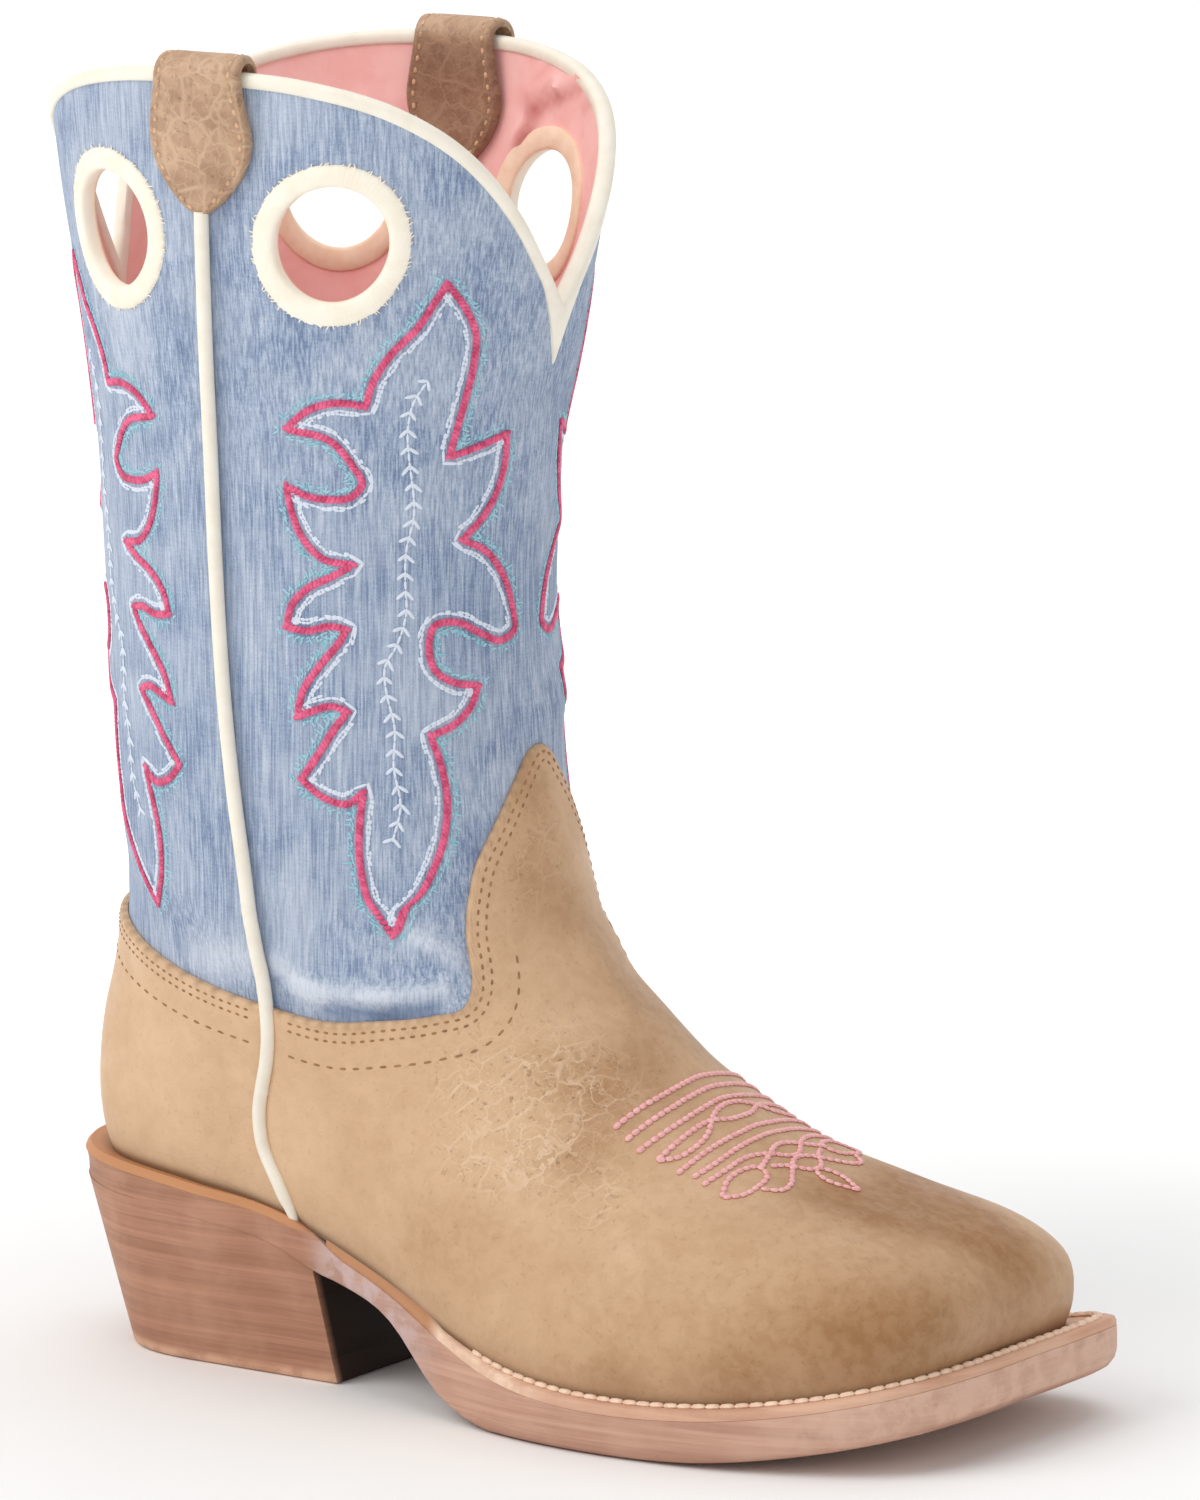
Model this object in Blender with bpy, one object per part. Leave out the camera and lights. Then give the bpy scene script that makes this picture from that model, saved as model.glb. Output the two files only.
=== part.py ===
"""Child's western boot for the right foot.

Denim shaft on a broad square-toed last, tan leather vamp with a tall tongue, heel counter and pull
straps, cream piping and pull-hole rings, stitched welt, leather outsole and a stacked heel.

Every curved piece comes from one function, surface(angle, level). The angle runs round the boot in
radians, 0 at the toe, positive to the inner side. The level runs up it: 0 at the feather line where
the upper meets the sole, 1 at the instep, 2 at the top of the collar.
"""

import bmesh
import bpy
import numpy as np

MM = 0.001

# Driving sizes, in millimetres: +x to the toe, +y to the inner side, +z up
SOLE_LENGTH = 216.0       # outsole from the heel seat to the toe
BALL_HALF = 37.5          # half the last's breadth at the ball
SHAFT_HALF = 37.5         # half the shaft's breadth at its narrowest
INSTEP_HEIGHT = 94.0      # where the foot turns up into the shaft
COLLAR_HEIGHT = 266.5     # top of the shaft at its sides
TOE_TURN = 9.0            # how far the toe leans to the inner side
WALL = 2.0                # denim and lining together
OVERLAY = 1.4             # vamp and counter leather
GAP = 0.3                 # kept between pieces that meet
SEAM_HALF = 2.3           # bare strip on each side of a side seam
WELT_THICK = 3.0
INSOLE_THICK = 3.0
HEEL_CAP_THICK = 5.0
HOLE_RADIUS = 11.8
RING_WIDTH = 4.2
RING_THICK = 1.1
HOLE_FROM_SEAM = 26.7     # along the boot, from the side seam to a pull hole's middle
HOLE_HEIGHT = 233.6
BINDING_THICK = 0.9
BINDING_LEG = 4.0
BINDING_POINT = 9.0       # extra length of the binding at the bottom of the front notch
BINDING_SPREAD = 14.0     # degrees on each side of the front that the point takes up
BINDING_CROWN = 1.3       # top of the binding above the collar's edge
BINDING_STEEPEST = 2.6    # most that the binding's upright sizes grow where the collar's edge is steep
CORD_RADIUS = 1.5
STRAP_THICK = 1.8
STRAP_HALF = 12.4
TREAD_BEVEL = 0.8
WELT_SET_BACK = 0.4       # welt's edge inside the outsole's
HEEL_SET_BACK = 0.2
LEAN_START, LEAN_END = 0.325, 0.97    # where the toe's lean begins and ends, as shares of the sole

# Last's feather line: angle in degrees; along as a share of the sole length; half breadths of the
# outer and inner sides as shares of the ball's; welt_outer and welt_inner, the sole beyond them in mm
FEATHER = np.array([
    # angle, along, outer, inner, welt_outer, welt_inner
    (0,   0.963, 0.000, 0.000, 7.0, 7.0),
    (14,  0.960, 0.427, 0.455, 6.4, 8.8),
    (27,  0.940, 0.735, 0.815, 5.4, 11.6),
    (40,  0.885, 0.950, 0.940, 4.9, 9.6),
    (53,  0.770, 1.090, 0.905, 4.7, 6.8),
    (66,  0.607, 1.055, 0.787, 4.5, 5.0),
    (78,  0.435, 0.815, 0.630, 2.4, 2.6),
    (90,  0.296, 0.680, 0.627, 2.4, 2.6),
    (110, 0.185, 0.693, 0.680, 4.0, 4.0),
    (135, 0.088, 0.600, 0.587, 4.6, 4.6),
    (158, 0.042, 0.320, 0.320, 6.8, 6.8),
    (180, 0.028, 0.000, 0.000, 7.6, 7.6),
])

# Sole from the side: along as a share of the sole length, top and bottom in mm above the floor
SOLE_PROFILE = np.array([
    # along, top, bottom
    (0.00, 40.8, 34.2),
    (0.09, 40.2, 33.6),
    (0.18, 38.3, 31.8),
    (0.27, 34.8, 28.0),
    (0.34, 30.4, 22.4),
    (0.41, 25.2, 17.2),
    (0.48, 18.6, 5.0),
    (0.55, 13.6, 0.0),
    (0.62, 11.2, 0.0),
    (0.69, 10.6, 0.0),
    (0.76, 11.2, 0.4),
    (0.83, 12.8, 2.0),
    (0.90, 15.4, 4.6),
    (0.96, 18.4, 7.6),
    (1.00, 20.8, 10.0),
])

# Rings of the last and shaft. x as shares of the sole length; rises run from 0 at the sole's top over
# 1 at the instep to 2 at the collar; outer and inner scale the half breadths; foot is 1 for a ring in
# the feather line's form and 0 for an oval; follow is how far it dips with the arch
RINGS = np.array([
    # level, back_x, back_rise, side_x, front_x, front_rise, outer, inner, foot, follow
    (0.000,  0.0280, 0.000, 0.2960, 0.963, 0.000, 1.000, 1.000, 1.00, 1.00),
    (0.110,  0.0210, 0.120, 0.2820, 0.970, 0.090, 1.030, 1.030, 1.00, 0.95),
    (0.240,  0.0185, 0.270, 0.2640, 0.963, 0.195, 1.030, 1.050, 0.95, 0.80),
    (0.350,  0.0195, 0.410, 0.2640, 0.930, 0.270, 1.010, 1.030, 0.80, 0.62),
    (0.460,  0.0230, 0.540, 0.2730, 0.864, 0.330, 0.980, 0.990, 0.58, 0.45),
    (0.570,  0.0290, 0.670, 0.2840, 0.782, 0.408, 0.950, 0.950, 0.34, 0.28),
    (0.685,  0.0340, 0.790, 0.2920, 0.695, 0.540, 0.940, 0.940, 0.15, 0.15),
    (0.815,  0.0380, 0.925, 0.2930, 0.608, 0.724, 0.950, 0.950, 0.05, 0.06),
    (1.000,  0.0410, 1.023, 0.2850, 0.536, 0.940, 0.970, 0.970, 0.00, 0.00),
    (1.070,  0.0390, 1.075, 0.2770, 0.502, 1.070, 0.985, 0.985, 0.00, 0.00),
    (1.151,  0.0330, 1.151, 0.2690, 0.487, 1.151, 1.000, 1.000, 0.00, 0.00),
    (1.267,  0.0270, 1.267, 0.2590, 0.478, 1.267, 1.010, 1.010, 0.00, 0.00),
    (1.412,  0.0210, 1.412, 0.2520, 0.475, 1.412, 1.020, 1.020, 0.00, 0.00),
    (1.557,  0.0150, 1.557, 0.2505, 0.486, 1.557, 1.050, 1.050, 0.00, 0.00),
    (1.701,  0.0000, 1.701, 0.2540, 0.505, 1.701, 1.120, 1.120, 0.00, 0.00),
    (1.846, -0.0210, 1.846, 0.2590, 0.526, 1.846, 1.185, 1.185, 0.00, 0.00),
    (2.000, -0.0390, 2.000, 0.2620, 0.545, 2.000, 1.215, 1.215, 0.00, 0.00),
])

# Level of the overlays' top edge, by angle: the vamp and its tongue to 90 degrees, then the counter
OVERLAY_EDGE = np.array([
    # angle, level
    (0,   1.215),
    (5,   1.207),
    (10,  1.184),
    (17,  1.148),
    (24,  1.107),
    (31,  1.068),
    (37,  1.022),
    (41,  0.958),
    (46,  0.898),
    (54,  0.862),
    (68,  0.815),
    (80,  0.770),
    (90,  0.762),
    (112, 0.764),
    (135, 0.800),
    (150, 0.835),
    (165, 0.870),
    (180, 0.884),
])

# Collar's notches: angle away from the front or back, and share of the notch's depth there
FRONT_NOTCH = 0.275       # depth, in levels
BACK_NOTCH = 0.280
NOTCH = np.array([
    # angle, front, back
    (0,  1.00, 1.00),
    (5,  0.90, 0.80),
    (10, 0.80, 0.57),
    (20, 0.58, 0.36),
    (35, 0.31, 0.21),
    (50, 0.14, 0.10),
    (70, 0.03, 0.02),
    (90, 0.00, 0.00),
])

# Heel in plan at the floor, in mm: a rounded back, straight sides and a straight breast
HEEL_BACK, HEEL_MIDDLE, HEEL_BREAST = 10.5, 36.0, 71.8
HEEL_HALF = 24.0
HEEL_SQUARENESS = 2.5
HEEL_BREAST_TOP = 67.0

# Pull strap from its tip to the fold: drop below the collar, half breadth as a share of the widest,
# and how far its back stands off the wall, all but the share in mm
STRAP = np.array([
    # drop, half, stand_off
    (28.0, 0.05, 0.60),
    (26.5, 0.28, 0.60),
    (23.5, 0.58, 0.60),
    (19.0, 0.86, 0.60),
    (13.5, 1.00, 0.75),
    (7.5,  0.93, 1.45),
    (2.5,  0.84, 1.75),
])
STRAP_FOLD_RISE = 2.2     # back of the strap above the collar's edge

# Grid: columns in front of and behind the side seams, rows below and above the overlays' edge
FRONT_COLUMNS = 30
BACK_COLUMNS = 14
FOOT_ROWS = 14
SHAFT_ROWS = 6
FOOT_CROWDING = 1.35      # rows lie closer together near the sole


def curve_through(table, at):
    """Smooth curve through a table whose first column is the place, read at each given place."""
    places, values = table[:, 0], table[:, 1:]
    steps = np.diff(places)[:, None]
    slopes = np.diff(values, axis=0) / steps
    share = steps[1:] / (steps[:-1] + steps[1:])
    tangents = np.concatenate([slopes[:1], slopes[:-1] * share + slopes[1:] * (1 - share), slopes[-1:]])
    at = np.asarray(at, float)
    i = np.clip(np.searchsorted(places, at, side="right") - 1, 0, len(places) - 2)
    step = steps[i]
    t = (at - places[i])[..., None] / step
    return ((1 + 2 * t) * (1 - t) ** 2 * values[i] + t * (1 - t) ** 2 * step * tangents[i]
            + t * t * (3 - 2 * t) * values[i + 1] + t * t * (t - 1) * step * tangents[i + 1])


def mirrored_ends(table, signs):
    """A half-turn table carried on past both ends, so that its curves cross the middle line square."""
    before = table[1:3][::-1] * signs
    after = table[-3:-1][::-1] * signs
    before[:, 0] = -before[:, 0]
    after[:, 0] = 360 - after[:, 0]
    return np.concatenate([before, table, after])


FEATHER_ROUND = mirrored_ends(FEATHER, np.array([1, 1, -1, -1, 1, 1]))
EDGE_ROUND = mirrored_ends(OVERLAY_EDGE, np.array([1, 1]))


def turn_from_toe(angle):
    """Angle away from the toe, in degrees from 0 to 180 on either side."""
    return np.abs((np.degrees(angle) + 180) % 360 - 180)


def toe_lean(x):
    """Sideways lean of the last's middle line to the inner side."""
    share = np.clip((x / SOLE_LENGTH - LEAN_START) / (LEAN_END - LEAN_START), 0, 1.1)
    return TOE_TURN * share ** 2


def sole_heights(x):
    """Top and bottom of the sole at x."""
    heights = curve_through(SOLE_PROFILE, np.clip(x / SOLE_LENGTH, 0, 1))
    return heights[..., 0], np.maximum(heights[..., 1], 0)


def feather_line(angle):
    """Feather line before the toe's lean: x, y and the sole's width beyond it."""
    row = curve_through(FEATHER_ROUND, turn_from_toe(angle))
    inner = np.sin(angle) >= 0
    y = BALL_HALF * np.where(inner, row[..., 2], -row[..., 1])
    return SOLE_LENGTH * row[..., 0], y, np.where(inner, row[..., 4], row[..., 3])


def height(rise, sole_top):
    """Height of a rise: 0 at the sole's top, 1 at the instep, 2 at the collar."""
    foot = sole_top + rise * (INSTEP_HEIGHT - sole_top)
    shaft = INSTEP_HEIGHT + (rise - 1) * (COLLAR_HEIGHT - INSTEP_HEIGHT)
    return np.where(rise < 1, foot, shaft)


def surface(angle, level):
    """Outer face of the upper at an angle and a level."""
    angle, level = np.broadcast_arrays(np.asarray(angle, float), np.asarray(level, float))
    ring = np.moveaxis(curve_through(RINGS, level), -1, 0)
    back_x, back_rise, side_x, front_x, front_rise, outer, inner, foot, follow = ring
    back_x, side_x, front_x = back_x * SOLE_LENGTH, side_x * SOLE_LENGTH, front_x * SOLE_LENGTH
    heel_end, side, toe_end = FEATHER[-1, 1], FEATHER[7, 1], FEATHER[0, 1]
    line_x, line_y, _ = feather_line(angle)
    along = line_x / SOLE_LENGTH
    forward = np.where(along >= side, (along - side) / (toe_end - side), (along - side) / (side - heel_end))
    turn = forward * foot + np.cos(angle) * (1 - foot)
    x = side_x + turn * np.where(turn >= 0, front_x - side_x, side_x - back_x)
    y = line_y * foot + np.sin(angle) * SHAFT_HALF * (1 - foot)
    y = y * np.where(np.sin(angle) >= 0, inner, outer)
    heel_top, _ = sole_heights(heel_end * SOLE_LENGTH)
    toe_top, _ = sole_heights(toe_end * SOLE_LENGTH)
    back_z, front_z = height(back_rise, heel_top), height(front_rise, toe_top)
    chord = heel_top + (toe_top - heel_top) * (along - heel_end) / (toe_end - heel_end)
    dip = follow * (sole_heights(line_x)[0] - chord)
    z = back_z + (front_z - back_z) * (x - back_x) / (front_x - back_x) + dip
    return np.stack([x, y + toe_lean(x), z], -1)


def outward(angle, level):
    """Unit normal of the upper's outer face, level with the floor at the feather line."""
    small = 1e-3
    round_it = surface(angle + small, level) - surface(angle - small, level)
    up_it = surface(angle, level + small) - surface(angle, np.maximum(level - small, 0))
    normal = np.cross(round_it, up_it)
    normal[..., 2] *= np.clip(np.asarray(level) / 0.08, 0, 1)
    return normal / np.linalg.norm(normal, axis=-1, keepdims=True)


def offset_surface(angle, level, distance):
    """Point at a distance outside the upper's outer face."""
    return surface(angle, level) + outward(angle, level) * np.asarray(distance)[..., None]


def collar_level(angle):
    """Level of the collar's edge, with its front and back notches."""
    turn = turn_from_toe(angle)
    front = curve_through(NOTCH, np.minimum(turn, 90))[..., 0]
    back = curve_through(NOTCH, np.minimum(180 - turn, 90))[..., 1]
    return 2 - np.where(turn < 90, FRONT_NOTCH * front, BACK_NOTCH * back)


def overlay_level(angle):
    """Level of the vamp's or counter's top edge."""
    return curve_through(EDGE_ROUND, turn_from_toe(angle))[..., 0]


def level_drop(distance):
    """Levels that a distance down the shaft takes."""
    return distance / (COLLAR_HEIGHT - INSTEP_HEIGHT)


def seam_angle(level):
    """Half angle of the bare strip beside a side seam."""
    quarter, small = np.pi / 2, 1e-3
    step = surface(quarter + small, level) - surface(quarter - small, level)
    return SEAM_HALF * 2 * small / np.linalg.norm(step, axis=-1)


def column_angles(level):
    """Angles of the grid's columns at a level, from the outer side seam round the toe and the heel."""
    strip = seam_angle(level)
    front = np.linspace(-1, 1, FRONT_COLUMNS + 1) * (np.pi / 2 - strip)
    back = np.pi + np.linspace(-1, 1, BACK_COLUMNS + 1) * (np.pi / 2 - strip)
    return np.concatenate([[-np.pi / 2], front, [np.pi / 2], back])


COLUMN_COUNT = FRONT_COLUMNS + BACK_COLUMNS + 4
VAMP_COLUMNS = slice(1, FRONT_COLUMNS + 2)
INNER_SEAM = FRONT_COLUMNS + 2
COUNTER_COLUMNS = slice(FRONT_COLUMNS + 3, COLUMN_COUNT)


def levels_by_length(column, start, stop, shares):
    """Levels of one column at shares of its length along the surface."""
    trial = np.linspace(start, stop, 160)
    angles = np.array([column_angles(level)[column] for level in trial])
    steps = np.linalg.norm(np.diff(surface(angles, trial), axis=0), axis=-1)
    run = np.concatenate([[0], np.cumsum(steps)])
    return np.interp(shares * run[-1], run, trial)


def upper_grid():
    """Angles and levels of the upper's grid, its row FOOT_ROWS lying on the overlays' edge."""
    foot_shares = np.linspace(0, 1, FOOT_ROWS + 1) ** FOOT_CROWDING
    shaft_shares = np.linspace(0, 1, SHAFT_ROWS + 1)[1:]
    nominal = column_angles(1.0)
    edges, collars = overlay_level(nominal), collar_level(nominal)
    levels = np.empty((FOOT_ROWS + SHAFT_ROWS + 1, COLUMN_COUNT))
    for column in range(COLUMN_COUNT):
        foot = levels_by_length(column, 0.0, edges[column], foot_shares)
        shaft = levels_by_length(column, edges[column], collars[column], shaft_shares)
        levels[:, column] = np.concatenate([foot, shaft])
    angles = np.empty_like(levels)
    for row in range(len(levels)):
        for column in range(COLUMN_COUNT):
            angles[row, column] = column_angles(levels[row, column])[column]
    return angles, levels


def rising_cells(first, count):
    """The first half of a row of cells, where the rows climb towards the toe's or heel's middle line."""
    return set(range(first, first + count // 2))


def grid_faces(rows, columns, first, closed, flip, rising=frozenset()):
    """Triangles of a grid of points numbered row by row; cells in rising columns split the other way."""
    faces = []
    for row in range(rows - 1):
        for column in range(columns if closed else columns - 1):
            across = (column + 1) % columns
            a, b = first + row * columns + column, first + row * columns + across
            c, d = b + columns, a + columns
            for face in ((a, b, d), (b, c, d)) if column in rising else ((a, b, c), (a, c, d)):
                faces.append(face[::-1] if flip else face)
    return faces


def plate(low, high, closed, rising=frozenset()):
    """Solid between two like grids of points, high being the outer one."""
    rows, columns = low.shape[:2]
    count = rows * columns
    points = np.concatenate([high.reshape(-1, 3), low.reshape(-1, 3)])
    faces = grid_faces(rows, columns, 0, closed, False, rising)
    faces += grid_faces(rows, columns, count, closed, True, rising)
    top = (rows - 1) * columns
    for column in range(columns if closed else columns - 1):
        across = (column + 1) % columns
        faces.append((across, column, count + column, count + across))
        faces.append((top + column, top + across, count + top + across, count + top + column))
    if not closed:
        last = columns - 1
        for row in range(rows - 1):
            a, b = row * columns, (row + 1) * columns
            faces.append((a, b, count + b, count + a))
            faces.append((b + last, a + last, count + a + last, count + b + last))
    return points, faces


def stack(rings, shift):
    """Solid through a stack of rings of points, closed at both ends by strips across.

    With a shift of 1 the rings start on the middle line; with 0 they start beside it.
    """
    rings = np.asarray(rings)
    rows, columns = rings.shape[:2]
    faces = grid_faces(rows, columns, 0, True, False)
    last = columns - 1 + shift
    for first, flip in ((0, True), ((rows - 1) * columns, False)):
        for i in range(columns // 2):
            quad = [i, i + 1, last - i - 1, (last - i) % columns]
            quad = tuple(first + corner for corner in dict.fromkeys(quad))
            if len(quad) > 2:
                faces.append(quad[::-1] if flip else quad)
    return rings.reshape(-1, 3), faces


def sweep(sections, closed):
    """Solid along a row of like sections; an open one is capped at both ends."""
    sections = np.asarray(sections)
    count, sides = sections.shape[:2]
    faces = []
    for i in range(count if closed else count - 1):
        ahead = (i + 1) % count
        for side in range(sides):
            across = (side + 1) % sides
            faces.append((i * sides + side, i * sides + across, ahead * sides + across, ahead * sides + side))
    if not closed:
        faces.append(tuple(range(sides))[::-1])
        faces.append(tuple((count - 1) * sides + side for side in range(sides)))
    return sections.reshape(-1, 3), faces


def finish_of(name, colour, roughness):
    """Material of one sub-part."""
    material = bpy.data.materials.new(name)
    material.use_nodes = True
    shader = material.node_tree.nodes["Principled BSDF"]
    shader.inputs["Base Color"].default_value = (*colour, 1.0)
    shader.inputs["Roughness"].default_value = roughness
    shader.inputs["Metallic"].default_value = 0.0
    return material


def add_piece(name, shape, colour, roughness):
    """Object made of points in millimetres and faces, with its faces turned outward."""
    points, faces = shape
    mesh = bpy.data.meshes.new(name)
    mesh.from_pydata((np.asarray(points) * MM).tolist(), [], faces)
    form = bmesh.new()
    form.from_mesh(mesh)
    bmesh.ops.recalc_face_normals(form, faces=form.faces)
    form.to_mesh(mesh)
    form.free()
    mesh.shade_smooth()
    mesh.set_sharp_from_angle(angle=np.radians(40))
    piece = bpy.data.objects.new(name, mesh)
    mesh.materials.append(finish_of(name, colour, roughness))
    bpy.data.collections["western_boot"].objects.link(piece)
    return piece


DENIM = (0.30, 0.40, 0.58)
TAN = (0.50, 0.34, 0.21)
CREAM = (0.86, 0.80, 0.66)
PEACH = (0.80, 0.52, 0.37)
SOLE_BROWN = (0.47, 0.27, 0.20)
HEEL_BROWN = (0.36, 0.17, 0.11)
CAP_BROWN = (0.50, 0.30, 0.21)


def sole_edge(angle, inset=0.0):
    """Plan of the outsole's edge, brought in by an inset: x and y."""
    small = 1e-3
    x, y, margin = feather_line(angle)
    ahead_x, ahead_y, _ = feather_line(angle + small)
    behind_x, behind_y, _ = feather_line(angle - small)
    step = np.stack([ahead_x - behind_x, ahead_y - behind_y], -1)
    step /= np.linalg.norm(step, axis=-1, keepdims=True)
    out = margin - inset
    edge_x = x + step[..., 1] * out
    return edge_x, y - step[..., 0] * out + toe_lean(edge_x)


def feather_inset(angle, inset):
    """Plan of the feather line brought in by an inset."""
    _, _, margin = feather_line(angle)
    return sole_edge(angle, margin + inset)


SOLE_ANGLES = np.concatenate([
    np.linspace(-180, -92, 13),
    np.linspace(-87, 87, 41),
    np.linspace(92, 180, 13)[:-1],
])
WELT_END = 86.0           # angle where the welt stops at the heel breast


def ring_at(plan, heights):
    """Ring of points with the plan and heights given."""
    return np.stack([plan[0], plan[1], np.broadcast_to(heights, plan[0].shape)], -1)


def make_outsole():
    """Heel seat, arched shank and tread in one, with a ledge for the welt round the forefoot."""
    angles = np.radians(SOLE_ANGLES)
    edge = sole_edge(angles)
    ledge_edge = feather_inset(angles, WALL + GAP)
    has_welt = np.abs(SOLE_ANGLES) < 90
    edge_top, edge_bottom = sole_heights(edge[0])
    inner_top, _ = sole_heights(ledge_edge[0])
    ledge = np.where(has_welt, WELT_THICK + GAP, 0.0)
    tread = sole_edge(angles, TREAD_BEVEL)
    floor = feather_inset(angles, WALL + 2 * GAP)
    return add_piece("outsole", stack([
        ring_at(tread, sole_heights(tread[0])[1]),
        ring_at(edge, edge_bottom + TREAD_BEVEL),
        ring_at(edge, edge_top - GAP - ledge),
        ring_at(ledge_edge, inner_top - GAP - ledge),
        ring_at(floor, sole_heights(floor[0])[0] - GAP),
    ], 1), SOLE_BROWN, 0.6)


def make_welt():
    """Stitched strip on the outsole's ledge, from waist to waist round the toe."""
    angles = np.radians(np.linspace(-WELT_END, WELT_END, 41))
    edge, inside = sole_edge(angles, WELT_SET_BACK), feather_inset(angles, WALL - GAP)
    edge_top, inside_top = sole_heights(edge[0])[0] - GAP, sole_heights(inside[0])[0] - GAP
    sections = np.stack([
        ring_at(edge, edge_top),
        ring_at(inside, inside_top),
        ring_at(inside, inside_top - WELT_THICK),
        ring_at(edge, edge_top - WELT_THICK),
    ], axis=1)
    return add_piece("welt", sweep(sections, False), PEACH, 0.6)


def make_insole():
    """Insole inside the upper's wall, following the arch."""
    angles = np.radians(SOLE_ANGLES)
    plan = feather_inset(angles, WALL + 2 * GAP)
    top, _ = sole_heights(plan[0])
    return add_piece("insole", stack([ring_at(plan, top), ring_at(plan, top + INSOLE_THICK)], 1), TAN, 0.7)


def by_length(points, count):
    """Points read at even steps along a line of points."""
    run = np.concatenate([[0], np.cumsum(np.linalg.norm(np.diff(points, axis=0), axis=-1))])
    places = np.linspace(0, run[-1], count)
    return np.stack([np.interp(places, run, points[:, axis]) for axis in range(points.shape[1])], -1)


HEEL_POINTS = 30


def heel_plan(share):
    """Heel's plan from the seat (0) to the floor (1), from breast to breast round the back."""
    seat = np.stack(sole_edge(np.radians(np.linspace(-80, -280, 401)), HEEL_SET_BACK), -1)
    seat = by_length(seat[seat[:, 0] <= HEEL_BREAST_TOP], HEEL_POINTS)
    turn = np.linspace(-np.pi / 2, np.pi / 2, 121)
    power = 2 / HEEL_SQUARENESS
    back = np.stack([
        HEEL_MIDDLE - (HEEL_MIDDLE - HEEL_BACK) * np.cos(turn) ** power,
        HEEL_HALF * np.sign(np.sin(turn)) * np.abs(np.sin(turn)) ** power,
    ], -1)
    breast = np.array([(HEEL_BREAST, -HEEL_HALF), (HEEL_BREAST, HEEL_HALF)])
    floor = by_length(np.concatenate([breast[:1], back, breast[1:]]), HEEL_POINTS)
    return seat * (1 - share) + floor * share


def heel_share(z):
    """Share of the way from the heel seat to the floor at a height."""
    return 1 - z / SOLE_PROFILE[1, 2]


def make_heel():
    """Stacked heel under the seat and its last lift."""
    seat = heel_plan(0)
    seat_top = sole_heights(seat[:, 0])[1] - GAP
    heel_foot = HEEL_CAP_THICK + GAP
    rings = [ring_at(heel_plan(heel_share(heel_foot)).T, heel_foot), ring_at(seat.T, seat_top)]
    add_piece("heel", stack(rings, 0), HEEL_BROWN, 0.55)
    cap = [ring_at(heel_plan(heel_share(z)).T, z) for z in (0.0, HEEL_CAP_THICK)]
    add_piece("heel_cap", stack(cap, 0), CAP_BROWN, 0.6)


def cutter(name, location, radius, depth, direction):
    """Cylinder that cuts a pull hole, kept out of the parts."""
    bpy.ops.mesh.primitive_cylinder_add(vertices=28, radius=radius * MM, depth=depth * MM)
    tool = bpy.context.object
    tool.name = name
    tool.location = location * MM
    tool.rotation_euler = (np.pi / 2, 0, np.arctan2(direction[1], direction[0]) + np.pi / 2)
    tool.hide_render = True
    tool.display_type = "WIRE"
    for holder in tool.users_collection:
        holder.objects.unlink(tool)
    bpy.data.collections["cutters"].objects.link(tool)
    return tool


def hole_place(side, end):
    """Angle and level of a pull hole's middle; side is -1 outer or 1 inner, end 1 front or -1 back."""
    level = 1 + level_drop(HOLE_HEIGHT - INSTEP_HEIGHT)
    trial = np.linspace(0.2, np.pi - 0.2, 600) * side
    x = surface(trial, level)[:, 0]
    seam_x = surface(side * np.pi / 2, level)[0]
    return trial[np.argmin(np.abs(x - seam_x - end * HOLE_FROM_SEAM))], level


HOLES = [(side, end) for side in (-1, 1) for end in (1, -1)]
SIDE_NAME = {-1: "outer", 1: "inner"}
END_NAME = {1: "front", -1: "back"}


def make_upper(angles, levels):
    """Hollow upper, open at the collar and underneath, with its pull holes cut."""
    low = offset_surface(angles, levels, np.full(levels.shape, -WALL))
    high = offset_surface(angles, levels, np.zeros(levels.shape))
    rising = rising_cells(VAMP_COLUMNS.start, FRONT_COLUMNS)
    rising |= rising_cells(COUNTER_COLUMNS.start, BACK_COLUMNS)
    upper = add_piece("upper", plate(low, high, True, rising), DENIM, 0.85)
    for side, end in HOLES:
        angle, level = hole_place(side, end)
        name = f"hole_cutter_{SIDE_NAME[side]}_{END_NAME[end]}"
        cut = upper.modifiers.new(name, "BOOLEAN")
        cut.operation = "DIFFERENCE"
        cut.solver = "EXACT"
        cut.object = cutter(name, surface(angle, level), HOLE_RADIUS, 24.0, outward(angle, level))


def make_overlay(name, angles, levels, columns):
    """Leather overlay over the foot rows of some columns."""
    part = (slice(0, FOOT_ROWS + 1), columns)
    low = offset_surface(angles[part], levels[part], np.full(levels[part].shape, GAP))
    high = offset_surface(angles[part], levels[part], np.full(levels[part].shape, GAP + OVERLAY))
    for face in (low, high):
        face[0, :, 2] = sole_heights(face[0, :, 0])[0] + GAP
    rising = rising_cells(0, levels[part].shape[1] - 1)
    add_piece(name, plate(low, high, False, rising), TAN, 0.55)


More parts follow.
